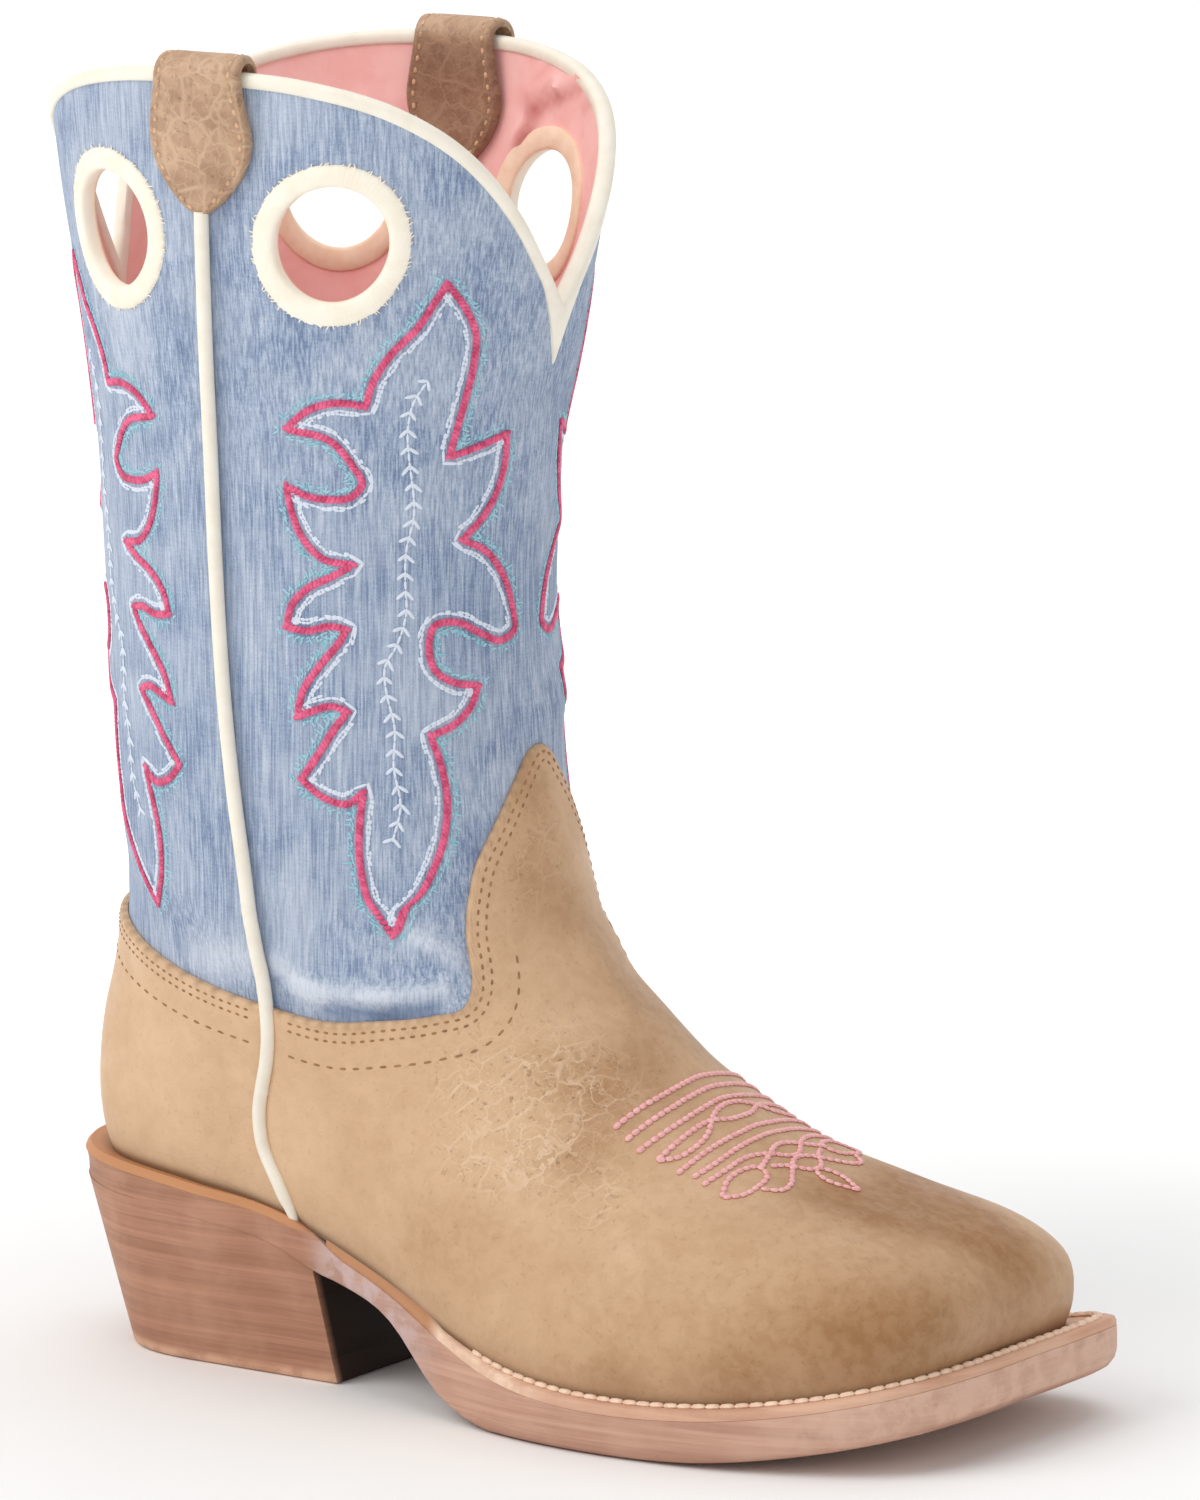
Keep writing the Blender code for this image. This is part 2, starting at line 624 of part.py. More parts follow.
def make_collar_piping(angles, levels):
    """Binding folded over the collar's edge, longer and pointed at the front notch."""
    angle, top = angles[-1], levels[-1]
    edge = surface(angle, top)
    run = np.roll(edge, -1, axis=0) - edge
    slant = np.linalg.norm(run, axis=-1) / np.linalg.norm(run[:, :2], axis=-1)
    steep = np.minimum(np.maximum(slant, np.roll(slant, 1)), BINDING_STEEPEST)
    point = BINDING_POINT * np.clip(1 - turn_from_toe(angle) / BINDING_SPREAD, 0, 1) ** 2
    outer_foot = top - level_drop(np.maximum(BINDING_LEG * steep, BINDING_LEG + point))
    inner_foot = top - level_drop(BINDING_LEG * steep)
    near, far, clear = GAP, GAP + BINDING_THICK, GAP + 0.1
    rise = np.array([0.0, 0.0, 1.0])

    def at(level, distance, lift=0.0):
        return offset_surface(angle, level, np.full(level.shape, distance)) + rise * (lift * steep)[:, None]

    sections = np.stack([
        at(outer_foot, near),
        at(outer_foot, far),
        at(top, far, GAP),
        at(top, -WALL / 2, BINDING_CROWN),
        at(top, -WALL - far, GAP),
        at(inner_foot, -WALL - far),
        at(inner_foot, -WALL - near),
        at(top, -WALL - near, clear),
        at(top, near, clear),
    ], axis=1)
    add_piece("collar_piping", sweep(sections, True), CREAM, 0.6)


def make_side_piping(side, angles, levels):
    """Cord lying on a side seam, from under the pull strap's tip to the sole."""
    column = 0 if side < 0 else INNER_SEAM
    top = collar_level(side * np.pi / 2) - level_drop(STRAP[0, 0] + 4 * GAP)
    seam_levels = levels[:, column]
    kept = np.concatenate([[0.035], seam_levels[(seam_levels > 0.06) & (seam_levels < top - 0.03)], [top]])
    route = offset_surface(angles[0, column], kept, np.full(kept.shape, GAP + CORD_RADIUS + 0.1))
    name = f"side_piping_{SIDE_NAME[side]}"
    line = bpy.data.curves.new(name, "CURVE")
    line.dimensions = "3D"
    line.bevel_depth = CORD_RADIUS * MM
    line.bevel_resolution = 1
    line.use_fill_caps = True
    spline = line.splines.new("POLY")
    spline.points.add(len(route) - 1)
    for knot, place in zip(spline.points, route * MM):
        knot.co = (*place, 1.0)
    line.materials.append(finish_of(name, CREAM, 0.6))
    piece = bpy.data.objects.new(name, line)
    bpy.data.collections["western_boot"].objects.link(piece)


def make_hole_ring(side, end):
    """Domed satin-stitched ring round a pull hole, following the shaft."""
    middle_angle, middle_level = hole_place(side, end)
    small = 1e-3
    wide = surface(middle_angle + small, middle_level) - surface(middle_angle - small, middle_level)
    angle_step = 2 * small / np.linalg.norm(wide)
    turn = np.linspace(0, 2 * np.pi, 20, endpoint=False)
    inside, outside = HOLE_RADIUS + GAP, HOLE_RADIUS + RING_WIDTH
    low, high = 1.5 * GAP, 1.5 * GAP + RING_THICK
    crown = (inside + outside) / 2
    profile = [(inside, low), (outside, low), (outside, low + 0.4), (crown, high), (inside, high - 0.2)]
    sections = []
    for radius, distance in profile:
        angle = middle_angle + radius * np.cos(turn) * angle_step
        level = middle_level + level_drop(radius * np.sin(turn))
        sections.append(offset_surface(angle, level, np.full(turn.shape, distance)))
    name = f"hole_ring_{SIDE_NAME[side]}_{END_NAME[end]}"
    add_piece(name, sweep(np.stack(sections, axis=1), True), CREAM, 0.7)


def make_strap(side):
    """Pull strap folded over the collar at a side seam, pointed at both ends."""
    seam = side * np.pi / 2
    top = collar_level(seam)
    half_wall = WALL / 2
    drops, halves, stands = STRAP.T
    # Rows of the strap's back and front: drop below the collar, place across the wall, half breadth
    outer_leg = [(drop, stand, half) for drop, half, stand in zip(drops, halves, stands)]
    fold_half, fold_reach = 0.81, half_wall + STRAP[-1, 2]
    fold = []
    for turn in np.radians([18, 54, 90, 126, 162]):
        fold.append((-STRAP_FOLD_RISE * np.sin(turn) - 0.2, -half_wall + fold_reach * np.cos(turn), fold_half))
    inner_leg = [(drop, -WALL - stand, half) for drop, stand, half in reversed(outer_leg)]
    rows = np.array(outer_leg + fold + inner_leg)
    small = 1e-3
    wide = surface(seam + small, top) - surface(seam - small, top)
    angle_step = 2 * small / np.linalg.norm(wide)
    across = np.linspace(-1, 1, 5)[None, :] * rows[:, 2:3] * STRAP_HALF
    angle = seam + across * angle_step
    level = np.broadcast_to((top - level_drop(np.maximum(rows[:, 0], 0)))[:, None], angle.shape)
    distance = np.broadcast_to(rows[:, 1][:, None], angle.shape)
    back = offset_surface(angle, level, distance)
    back[..., 2] += np.maximum(-rows[:, 0], 0)[:, None]
    along = np.gradient(back, axis=0)
    wide = np.gradient(back, axis=1)
    face = np.cross(along, wide) * side
    face /= np.linalg.norm(face, axis=-1, keepdims=True)
    # The front keeps clear of the wall on both legs
    facing_out = np.sum(face[0] * outward(angle[0], level[0]), axis=-1).mean()
    front = back + face * np.sign(facing_out) * STRAP_THICK
    add_piece(f"pull_strap_{SIDE_NAME[side]}", plate(back, front, False), TAN, 0.55)


def set_origin():
    """Stand the boot with its origin under the middle of its box."""
    bpy.context.view_layer.update()
    depsgraph = bpy.context.evaluated_depsgraph_get()
    parts = list(bpy.data.collections["western_boot"].objects)
    points = []
    for part in parts:
        evaluated = part.evaluated_get(depsgraph)
        mesh = evaluated.to_mesh()
        points += [tuple(evaluated.matrix_world @ vertex.co) for vertex in mesh.vertices]
        evaluated.to_mesh_clear()
    low, high = np.min(points, axis=0), np.max(points, axis=0)
    stand = bpy.data.objects.new("boot_stand", None)
    bpy.data.collections["western_boot"].objects.link(stand)
    for part in parts + list(bpy.data.collections["cutters"].objects):
        part.parent = stand
    stand.location = (-(low[0] + high[0]) / 2, -(low[1] + high[1]) / 2, -low[2])
    bpy.context.view_layer.update()


def main():
    for old in list(bpy.data.objects):
        bpy.data.objects.remove(old, do_unlink=True)
    for name in ("western_boot", "cutters"):
        holder = bpy.data.collections.new(name)
        bpy.context.scene.collection.children.link(holder)
    angles, levels = upper_grid()
    make_upper(angles, levels)
    make_overlay("vamp", angles, levels, VAMP_COLUMNS)
    make_overlay("counter", angles, levels, COUNTER_COLUMNS)
    make_collar_piping(angles, levels)
    for side in (-1, 1):
        make_side_piping(side, angles, levels)
        make_strap(side)
    for side, end in HOLES:
        make_hole_ring(side, end)
    make_insole()
    make_welt()
    make_outsole()
    make_heel()
    set_origin()


main()
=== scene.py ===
"""Child's western boot for the right foot, dressed in denim, leather, piping and stitching.

The outer form is the same function of angle and level that shapes the solids. Angle runs round the boot,
0 at the toe and positive to the inner side. Level runs up it: 0 at the feather line, 1 at the instep,
2 at the collar. Lengths are in millimetres until a mesh is made.
"""

import bmesh
import bpy
import numpy as np
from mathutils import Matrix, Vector


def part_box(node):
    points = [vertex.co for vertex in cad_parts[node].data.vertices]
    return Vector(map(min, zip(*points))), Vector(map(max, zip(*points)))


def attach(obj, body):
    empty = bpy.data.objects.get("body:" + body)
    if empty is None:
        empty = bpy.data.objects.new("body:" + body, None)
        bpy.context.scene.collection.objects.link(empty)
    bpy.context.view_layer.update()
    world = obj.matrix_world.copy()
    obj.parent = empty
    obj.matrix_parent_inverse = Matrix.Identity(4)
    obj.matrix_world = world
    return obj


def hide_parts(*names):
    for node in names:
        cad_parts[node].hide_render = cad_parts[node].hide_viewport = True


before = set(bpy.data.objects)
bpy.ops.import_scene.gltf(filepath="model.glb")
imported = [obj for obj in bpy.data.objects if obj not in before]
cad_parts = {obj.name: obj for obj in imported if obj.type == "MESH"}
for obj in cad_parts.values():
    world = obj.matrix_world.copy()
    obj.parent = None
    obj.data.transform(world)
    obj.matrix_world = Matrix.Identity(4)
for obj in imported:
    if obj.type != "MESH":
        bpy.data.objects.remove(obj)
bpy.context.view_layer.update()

bl_info = {
    "name": "Western boot dresser",
    "version": (1, 0, 0),
    "blender": (4, 5, 0),
    "location": "3D View > Sidebar > Boot",
    "description": "Dresses the boot's solids in denim, leather, piping and stitching, and sets the studio",
    "category": "Object",
}

MM = 0.001
SMALL = 1e-3  # step of angle or level for slopes
QUARTER = np.pi / 2  # angle of the inner side seam
TRIAL_ROWS = 90  # rows that a column's length is measured with
SHARP_TURN = 50.0  # degrees from which an edge is shaded sharp

# Driving sizes of the form
SOLE_LENGTH = 216.0
BALL_HALF = 37.5
SHAFT_HALF = 37.5
INSTEP_HEIGHT = 94.0
COLLAR_HEIGHT = 266.5
TOE_TURN = 9.0
LEAN_START, LEAN_END = 0.325, 0.97
SEAM_HALF = 2.3
UPRIGHT_LEVEL = 0.08  # below it the upper's normals turn level
WALL = 2.0  # upper's wall with its lining
GAP = 0.3
HOLE_RADIUS = 11.8
HOLE_FROM_SEAM = 26.7
HOLE_HEIGHT = 233.6
HEEL_BACK, HEEL_MIDDLE, HEEL_BREAST = 10.5, 36.0, 71.8
HEEL_HALF = 24.0
HEEL_SQUARENESS = 2.5
HEEL_BREAST_TOP = 67.0
HEEL_CAP = 5.0
WELT_END = 86.0

# Feather line: angle in degrees, along as a share of the sole, half breadths as shares of the ball's,
# and the sole's width beyond it on the outer and inner sides
FEATHER = np.array([
    (0,   0.963, 0.000, 0.000, 7.0, 7.0),
    (14,  0.960, 0.427, 0.455, 6.4, 8.8),
    (27,  0.940, 0.735, 0.815, 5.4, 11.6),
    (40,  0.885, 0.950, 0.940, 4.9, 9.6),
    (53,  0.770, 1.090, 0.905, 4.7, 6.8),
    (66,  0.607, 1.055, 0.787, 4.5, 5.0),
    (78,  0.435, 0.815, 0.630, 2.4, 2.6),
    (90,  0.296, 0.680, 0.627, 2.4, 2.6),
    (110, 0.185, 0.693, 0.680, 4.0, 4.0),
    (135, 0.088, 0.600, 0.587, 4.6, 4.6),
    (158, 0.042, 0.320, 0.320, 6.8, 6.8),
    (180, 0.028, 0.000, 0.000, 7.6, 7.6),
])

# Sole from the side: along as a share of its length, top and bottom
SOLE_PROFILE = np.array([
    (0.00, 40.8, 34.2),
    (0.09, 40.2, 33.6),
    (0.18, 38.3, 31.8),
    (0.27, 34.8, 28.0),
    (0.34, 30.4, 22.4),
    (0.41, 25.2, 17.2),
    (0.48, 18.6, 5.0),
    (0.55, 13.6, 0.0),
    (0.62, 11.2, 0.0),
    (0.69, 10.6, 0.0),
    (0.76, 11.2, 0.4),
    (0.83, 12.8, 2.0),
    (0.90, 15.4, 4.6),
    (0.96, 18.4, 7.6),
    (1.00, 20.8, 10.0),
])

# Rings of the upper: level, x and rise at the back, x at the sides, x and rise at the front, outer and inner
# breadth, share of the foot's plan in the ring's, share of the sole's dip that it follows
RINGS = np.array([
    (0.000,  0.0280, 0.000, 0.2960, 0.963, 0.000, 1.000, 1.000, 1.00, 1.00),
    (0.110,  0.0210, 0.120, 0.2820, 0.970, 0.090, 1.030, 1.030, 1.00, 0.95),
    (0.240,  0.0185, 0.270, 0.2640, 0.963, 0.195, 1.030, 1.050, 0.95, 0.80),
    (0.350,  0.0195, 0.410, 0.2640, 0.930, 0.270, 1.010, 1.030, 0.80, 0.62),
    (0.460,  0.0230, 0.540, 0.2730, 0.864, 0.330, 0.980, 0.990, 0.58, 0.45),
    (0.570,  0.0290, 0.670, 0.2840, 0.782, 0.408, 0.950, 0.950, 0.34, 0.28),
    (0.685,  0.0340, 0.790, 0.2920, 0.695, 0.540, 0.940, 0.940, 0.15, 0.15),
    (0.815,  0.0380, 0.925, 0.2930, 0.608, 0.724, 0.950, 0.950, 0.05, 0.06),
    (1.000,  0.0410, 1.023, 0.2850, 0.536, 0.940, 0.970, 0.970, 0.00, 0.00),
    (1.070,  0.0390, 1.075, 0.2770, 0.502, 1.070, 0.985, 0.985, 0.00, 0.00),
    (1.151,  0.0330, 1.151, 0.2690, 0.487, 1.151, 1.000, 1.000, 0.00, 0.00),
    (1.267,  0.0270, 1.267, 0.2590, 0.478, 1.267, 1.010, 1.010, 0.00, 0.00),
    (1.412,  0.0210, 1.412, 0.2520, 0.475, 1.412, 1.020, 1.020, 0.00, 0.00),
    (1.557,  0.0150, 1.557, 0.2505, 0.486, 1.557, 1.050, 1.050, 0.00, 0.00),
    (1.701,  0.0000, 1.701, 0.2540, 0.505, 1.701, 1.120, 1.120, 0.00, 0.00),
    (1.846, -0.0210, 1.846, 0.2590, 0.526, 1.846, 1.185, 1.185, 0.00, 0.00),
    (2.000, -0.0390, 2.000, 0.2620, 0.545, 2.000, 1.215, 1.215, 0.00, 0.00),
])

# Top edge of the vamp (to 90 degrees) and counter: angle, level
OVERLAY_EDGE = np.array([
    (0,   1.215),
    (5,   1.207),
    (10,  1.184),
    (17,  1.148),
    (24,  1.107),
    (31,  1.068),
    (37,  1.022),
    (41,  0.958),
    (46,  0.898),
    (54,  0.862),
    (68,  0.815),
    (80,  0.770),
    (90,  0.762),
    (112, 0.764),
    (135, 0.800),
    (150, 0.835),
    (165, 0.870),
    (180, 0.884),
])

# Vamp's ridge, to start a search from: x and level, and the radius of its round
VAMP_RIDGE = np.array([(112, 1.0), (131, 0.815), (150, 0.685), (169, 0.57), (187, 0.46), (201, 0.35)])
VAMP_ROUND = 25.0

# Collar's notches: angle from the front or back, share of the front's and the back's depth
FRONT_NOTCH, BACK_NOTCH = 0.275, 0.280
NOTCH = np.array([
    (0,  1.00, 1.00),
    (5,  0.90, 0.80),
    (10, 0.80, 0.57),
    (20, 0.58, 0.36),
    (35, 0.31, 0.21),
    (50, 0.14, 0.10),
    (70, 0.03, 0.02),
    (90, 0.00, 0.00),
])


def curve_through(table, at):
    """Smooth curve through a table whose first column is the place."""
    places, values = table[:, 0], table[:, 1:]
    steps = np.diff(places)[:, None]
    slopes = np.diff(values, axis=0) / steps
    share = steps[1:] / (steps[:-1] + steps[1:])
    tangents = np.concatenate([slopes[:1], slopes[:-1] * share + slopes[1:] * (1 - share), slopes[-1:]])
    at = np.asarray(at, float)
    i = np.clip(np.searchsorted(places, at, side="right") - 1, 0, len(places) - 2)
    step = steps[i]
    t = (at - places[i])[..., None] / step
    return ((1 + 2 * t) * (1 - t) ** 2 * values[i] + t * (1 - t) ** 2 * step * tangents[i]
            + t * t * (3 - 2 * t) * values[i + 1] + t * t * (t - 1) * step * tangents[i + 1])


def mirrored_ends(table, signs):
    """A half-turn table carried on past both ends, so that its curves cross the middle line square."""
    before = table[1:3][::-1] * signs
    after = table[-3:-1][::-1] * signs
    before[:, 0] = -before[:, 0]
    after[:, 0] = 360 - after[:, 0]
    return np.concatenate([before, table, after])


FEATHER_ROUND = mirrored_ends(FEATHER, np.array([1, 1, -1, -1, 1, 1]))
EDGE_ROUND = mirrored_ends(OVERLAY_EDGE, np.array([1, 1]))


def turn_from_toe(angle):
    """Angle away from the toe, in degrees from 0 to 180 on either side."""
    return np.abs((np.degrees(angle) + 180) % 360 - 180)


def toe_lean(x):
    """Sideways lean of the last's middle line."""
    share = np.clip((x / SOLE_LENGTH - LEAN_START) / (LEAN_END - LEAN_START), 0, 1.1)
    return TOE_TURN * share ** 2


def sole_heights(x):
    """Top and bottom of the sole at x."""
    heights = curve_through(SOLE_PROFILE, np.clip(x / SOLE_LENGTH, 0, 1))
    return heights[..., 0], np.maximum(heights[..., 1], 0)


def feather_line(angle):
    """Feather line before the toe's lean: x, y and the sole's width beyond it."""
    row = curve_through(FEATHER_ROUND, turn_from_toe(angle))
    inner = np.sin(angle) >= 0
    y = BALL_HALF * np.where(inner, row[..., 2], -row[..., 1])
    return SOLE_LENGTH * row[..., 0], y, np.where(inner, row[..., 4], row[..., 3])


def height(rise, sole_top):
    """Height of a rise: 0 at the sole's top, 1 at the instep, 2 at the collar."""
    foot = sole_top + rise * (INSTEP_HEIGHT - sole_top)
    shaft = INSTEP_HEIGHT + (rise - 1) * (COLLAR_HEIGHT - INSTEP_HEIGHT)
    return np.where(rise < 1, foot, shaft)


def surface(angle, level):
    """Outer face of the upper at an angle and a level."""
    angle, level = np.broadcast_arrays(np.asarray(angle, float), np.asarray(level, float))
    ring = np.moveaxis(curve_through(RINGS, level), -1, 0)
    back_x, back_rise, side_x, front_x, front_rise, outer, inner, foot, follow = ring
    back_x, side_x, front_x = back_x * SOLE_LENGTH, side_x * SOLE_LENGTH, front_x * SOLE_LENGTH
    heel_end, side, toe_end = FEATHER[-1, 1], FEATHER[7, 1], FEATHER[0, 1]
    line_x, line_y, _ = feather_line(angle)
    along = line_x / SOLE_LENGTH
    forward = np.where(along >= side, (along - side) / (toe_end - side), (along - side) / (side - heel_end))
    turn = forward * foot + np.cos(angle) * (1 - foot)
    x = side_x + turn * np.where(turn >= 0, front_x - side_x, side_x - back_x)
    y = line_y * foot + np.sin(angle) * SHAFT_HALF * (1 - foot)
    y = y * np.where(np.sin(angle) >= 0, inner, outer)
    heel_top, _ = sole_heights(heel_end * SOLE_LENGTH)
    toe_top, _ = sole_heights(toe_end * SOLE_LENGTH)
    back_z, front_z = height(back_rise, heel_top), height(front_rise, toe_top)
    chord = heel_top + (toe_top - heel_top) * (along - heel_end) / (toe_end - heel_end)
    dip = follow * (sole_heights(line_x)[0] - chord)
    z = back_z + (front_z - back_z) * (x - back_x) / (front_x - back_x) + dip
    return np.stack([x, y + toe_lean(x), z], -1)


def outward(angle, level):
    """Unit normal of the upper's outer face, level with the floor at the feather line."""
    round_it = surface(angle + SMALL, level) - surface(angle - SMALL, level)
    up_it = surface(angle, level + SMALL) - surface(angle, np.maximum(level - SMALL, 0))
    normal = np.cross(round_it, up_it)
    normal[..., 2] *= np.clip(np.asarray(level) / UPRIGHT_LEVEL, 0, 1)
    return normal / np.linalg.norm(normal, axis=-1, keepdims=True)


def offset_surface(angle, level, distance):
    """Point at a distance outside the upper's outer face."""
    return surface(angle, level) + outward(angle, level) * np.asarray(distance)[..., None]


def collar_level(angle):
    """Level of the collar's edge, with its front and back notches."""
    turn = turn_from_toe(angle)
    front = curve_through(NOTCH, np.minimum(turn, 90))[..., 0]
    back = curve_through(NOTCH, np.minimum(180 - turn, 90))[..., 1]
    return 2 - np.where(turn < 90, FRONT_NOTCH * front, BACK_NOTCH * back)


def overlay_level(angle):
    """Level of the vamp's or counter's top edge."""
    return curve_through(EDGE_ROUND, turn_from_toe(angle))[..., 0]


def level_drop(distance):
    """Levels that a distance down the shaft takes."""
    return distance / (COLLAR_HEIGHT - INSTEP_HEIGHT)


def angle_per_mm(angle, level):
    """Angle that a millimetre round the boot takes."""
    step = surface(angle + SMALL, level) - surface(angle - SMALL, level)
    return 2 * SMALL / np.linalg.norm(step, axis=-1)


def seam_angle(level):
    """Half angle of the bare strip beside a side seam."""
    return SEAM_HALF * angle_per_mm(QUARTER, level)


def rows_by_length(angles, start, stop, shares):
    """Levels of each column at shares of its length along the surface, rows first."""
    trial = start + (stop - start) * np.linspace(0, 1, TRIAL_ROWS)[:, None]
    steps = np.linalg.norm(np.diff(surface(angles[None, :], trial), axis=0), axis=-1)
    run = np.concatenate([np.zeros((1, len(angles))), np.cumsum(steps, axis=0)])
    columns = [np.interp(shares * run[-1, i], run[:, i], trial[:, i]) for i in range(len(angles))]
    return np.stack(columns, axis=1)


def slide(angle, level, move):
    """Angle and level reached by moving along the surface by a vector."""
    goal = surface(angle, level) + move
    for _ in range(3):
        round_it = (surface(angle + SMALL, level) - surface(angle - SMALL, level)) / (2 * SMALL)
        up_it = (surface(angle, level + SMALL) - surface(angle, level - SMALL)) / (2 * SMALL)
        miss = goal - surface(angle, level)
        a, b, c = (np.sum(p * q, -1) for p, q in ((round_it, round_it), (round_it, up_it), (up_it, up_it)))
        d, e = np.sum(round_it * miss, -1), np.sum(up_it * miss, -1)
        det = a * c - b * b
        angle = angle + (d * c - e * b) / det
        level = level + (a * e - b * d) / det
    return angle, level


def on_vamp(x, across):
    """Angle and level of the vamp's top at x and a distance across from the middle line."""
    angle = np.arctan2(across, VAMP_ROUND)
    level = np.interp(x, *VAMP_RIDGE.T)
    for _ in range(12):
        here = surface(angle, level)
        round_it = (surface(angle + SMALL, level) - here) / SMALL
        up_it = (surface(angle, level + SMALL) - here) / SMALL
        miss_x, miss_y = x - here[..., 0], across + toe_lean(x) - here[..., 1]
        det = round_it[..., 0] * up_it[..., 1] - round_it[..., 1] * up_it[..., 0]
        angle = angle + np.clip((miss_x * up_it[..., 1] - miss_y * up_it[..., 0]) / det, -0.2, 0.2)
        level = level + np.clip((round_it[..., 0] * miss_y - round_it[..., 1] * miss_x) / det, -0.05, 0.05)
    return angle, level


# Where the model's own axes stand in the frame
ORIGIN = np.array([
    HEEL_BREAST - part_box("heel_cap")[1].x / MM,
    -(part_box("pull_strap_outer")[0].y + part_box("pull_strap_inner")[1].y) / 2 / MM,
    0.0,
])


# Meshes

def grid_quads(rows, columns, first, closed, flip):
    """Quads of a grid of points numbered row by row."""
    across = columns if closed else columns - 1
    row, column = np.meshgrid(np.arange(rows - 1), np.arange(across), indexing="ij")
    a = first + row * columns + column
    b = first + row * columns + (column + 1) % columns
    quads = np.stack([a, b, b + columns, a + columns], -1).reshape(-1, 4)
    return quads[:, ::-1] if flip else quads


def shell(outer, inner, closed):
    """Closed wall between two like grids of points, rows first."""
    rows, columns = outer.shape[:2]
    count = rows * columns
    points = np.concatenate([outer.reshape(-1, 3), inner.reshape(-1, 3)])
    quads = [grid_quads(rows, columns, 0, closed, False), grid_quads(rows, columns, count, closed, True)]
    i = np.arange(columns if closed else columns - 1)
    j = (i + 1) % columns
    top = (rows - 1) * columns
    quads.append(np.stack([j, i, count + i, count + j], -1))
    quads.append(np.stack([top + i, top + j, count + top + j, count + top + i], -1))
    if not closed:
        a = np.arange(rows - 1) * columns
        b, last = a + columns, columns - 1
        quads.append(np.stack([a, b, count + b, count + a], -1))
        quads.append(np.stack([b + last, a + last, count + a + last, count + b + last], -1))
    return points, np.concatenate(quads).tolist()


def sweep(sections, closed):
    """Solid along a row of like sections; an open one is capped at both ends."""
    count, sides = sections.shape[:2]
    faces = (grid_quads(count + closed, sides, 0, True, False) % (count * sides)).tolist()
    if not closed:
        faces.append(list(range(sides))[::-1])
        faces.append([(count - 1) * sides + k for k in range(sides)])
    return sections.reshape(-1, 3), faces


def loft(rings, shift):
    """Solid through a stack of closed rings, capped by strips across; shift 1 starts on the middle line."""
    rows, columns = rings.shape[:2]
    faces = grid_quads(rows, columns, 0, True, False).tolist()
    last = columns - 1 + shift
    for first, flip in ((0, True), ((rows - 1) * columns, False)):
        for i in range(columns // 2):
            strip = [i, i + 1, last - i - 1, (last - i) % columns]
            strip = [first + corner for corner in dict.fromkeys(strip)]
            if len(strip) > 2:
                faces.append(strip[::-1] if flip else strip)
    return rings.reshape(-1, 3), faces


def placed(name, data):
    """New object in the scene."""
    made = bpy.data.objects.new(name, data)
    bpy.context.scene.collection.objects.link(made)
    return made


def add_piece(name, shape, looks, nodes=(), masks=None, behind=None):
    """Object made of points in millimetres and faces, riding on the boot and standing for CAD nodes.

    Looks are keys of its finishes. Faces behind a place along the boot take the second one.
    """
    points, faces = shape
    mesh = bpy.data.meshes.new(name)
    mesh.from_pydata(((points - ORIGIN) * MM).tolist(), [], faces)
    for key, values in (masks or {}).items():
        layer = mesh.attributes.new(key, "FLOAT", "POINT")
        layer.data.foreach_set("value", np.asarray(values, np.float32).ravel())
    form = bmesh.new()
    form.from_mesh(mesh)
    bmesh.ops.recalc_face_normals(form, faces=form.faces)
    form.to_mesh(mesh)
    form.free()
    for look in looks:
        mesh.materials.append(finishes()[look])
    if behind is not None:
        for face in mesh.polygons:
            face.material_index = int(face.center.x / MM + ORIGIN[0] < behind)
    mesh.shade_smooth()
    mesh.set_sharp_from_angle(angle=np.radians(SHARP_TURN))
    piece = placed(name, mesh)
    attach(piece, "root")
    if nodes:
        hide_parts(*nodes)
    return piece


def unit(vectors):
    """Vectors brought to length 1."""
    return vectors / np.maximum(np.linalg.norm(vectors, axis=-1, keepdims=True), 1e-9)


def whole_turn(count):
    """Even angles round a circle."""
    return np.linspace(0, 2 * np.pi, count, endpoint=False)


# Threads: width and thickness of a stitch
THREADS = {
    "strap": (0.80, 0.60),
    "loose": (0.30, 0.26),
    "flame": (1.05, 0.80),
    "aqua": (0.42, 0.28),
    "tick": (0.40, 0.28),
    "pale": (0.62, 0.30),
    "stem": (0.55, 0.36),
    "leaf": (0.75, 0.42),
    "toe": (1.25, 0.80),
    "edge": (0.55, 0.36),
    "welt": (1.80, 1.50),
}

# Outline of one stitch: share along it, share of its girth
STITCH_FORM = np.array([(-0.5, 0.25), (-0.34, 0.85), (0.0, 1.0), (0.34, 0.85), (0.5, 0.25)])
STITCH_SIDES = 6


def stitch_shape(starts, ends, normals, thread, sink=0.25):
    """Rounded stitches of a thread from starts to ends, lying on a face with the normals given."""
    width, thick = THREADS[thread]
    middle, along = (starts + ends) / 2, ends - starts
    across = unit(np.cross(normals, along))
    rise = unit(np.cross(along, across))
    turn = whole_turn(STITCH_SIDES)
    place, girth = STITCH_FORM.T
    ring = (across[:, None, None, :] * (np.cos(turn) * width / 2)[None, None, :, None]
            + rise[:, None, None, :] * (np.sin(turn) * thick / 2)[None, None, :, None])
    ring = ring * girth[None, :, None, None]
    ring = ring + (middle + normals * (thick / 2 - sink * thick))[:, None, None, :]
    ring = ring + along[:, None, None, :] * place[None, :, None, None]
    count, rings = ring.shape[:2]
    one = grid_quads(rings, STITCH_SIDES, 0, True, False)
    size = rings * STITCH_SIDES
    quads = (one[None] + (np.arange(count) * size)[:, None, None]).reshape(-1, 4).tolist()
    for start in range(0, count * size, size):
        quads.append(list(range(start, start + STITCH_SIDES))[::-1])
        quads.append(list(range(start + size - STITCH_SIDES, start + size)))
    return ring.reshape(-1, 3), quads


def joined(shapes):
    """Several shapes as one."""
    points, faces, first = [], [], 0
    for some, more in shapes:
        points.append(some)
        faces += [[first + corner for corner in face] for face in more]
        first += len(some)
    return np.concatenate(points), faces


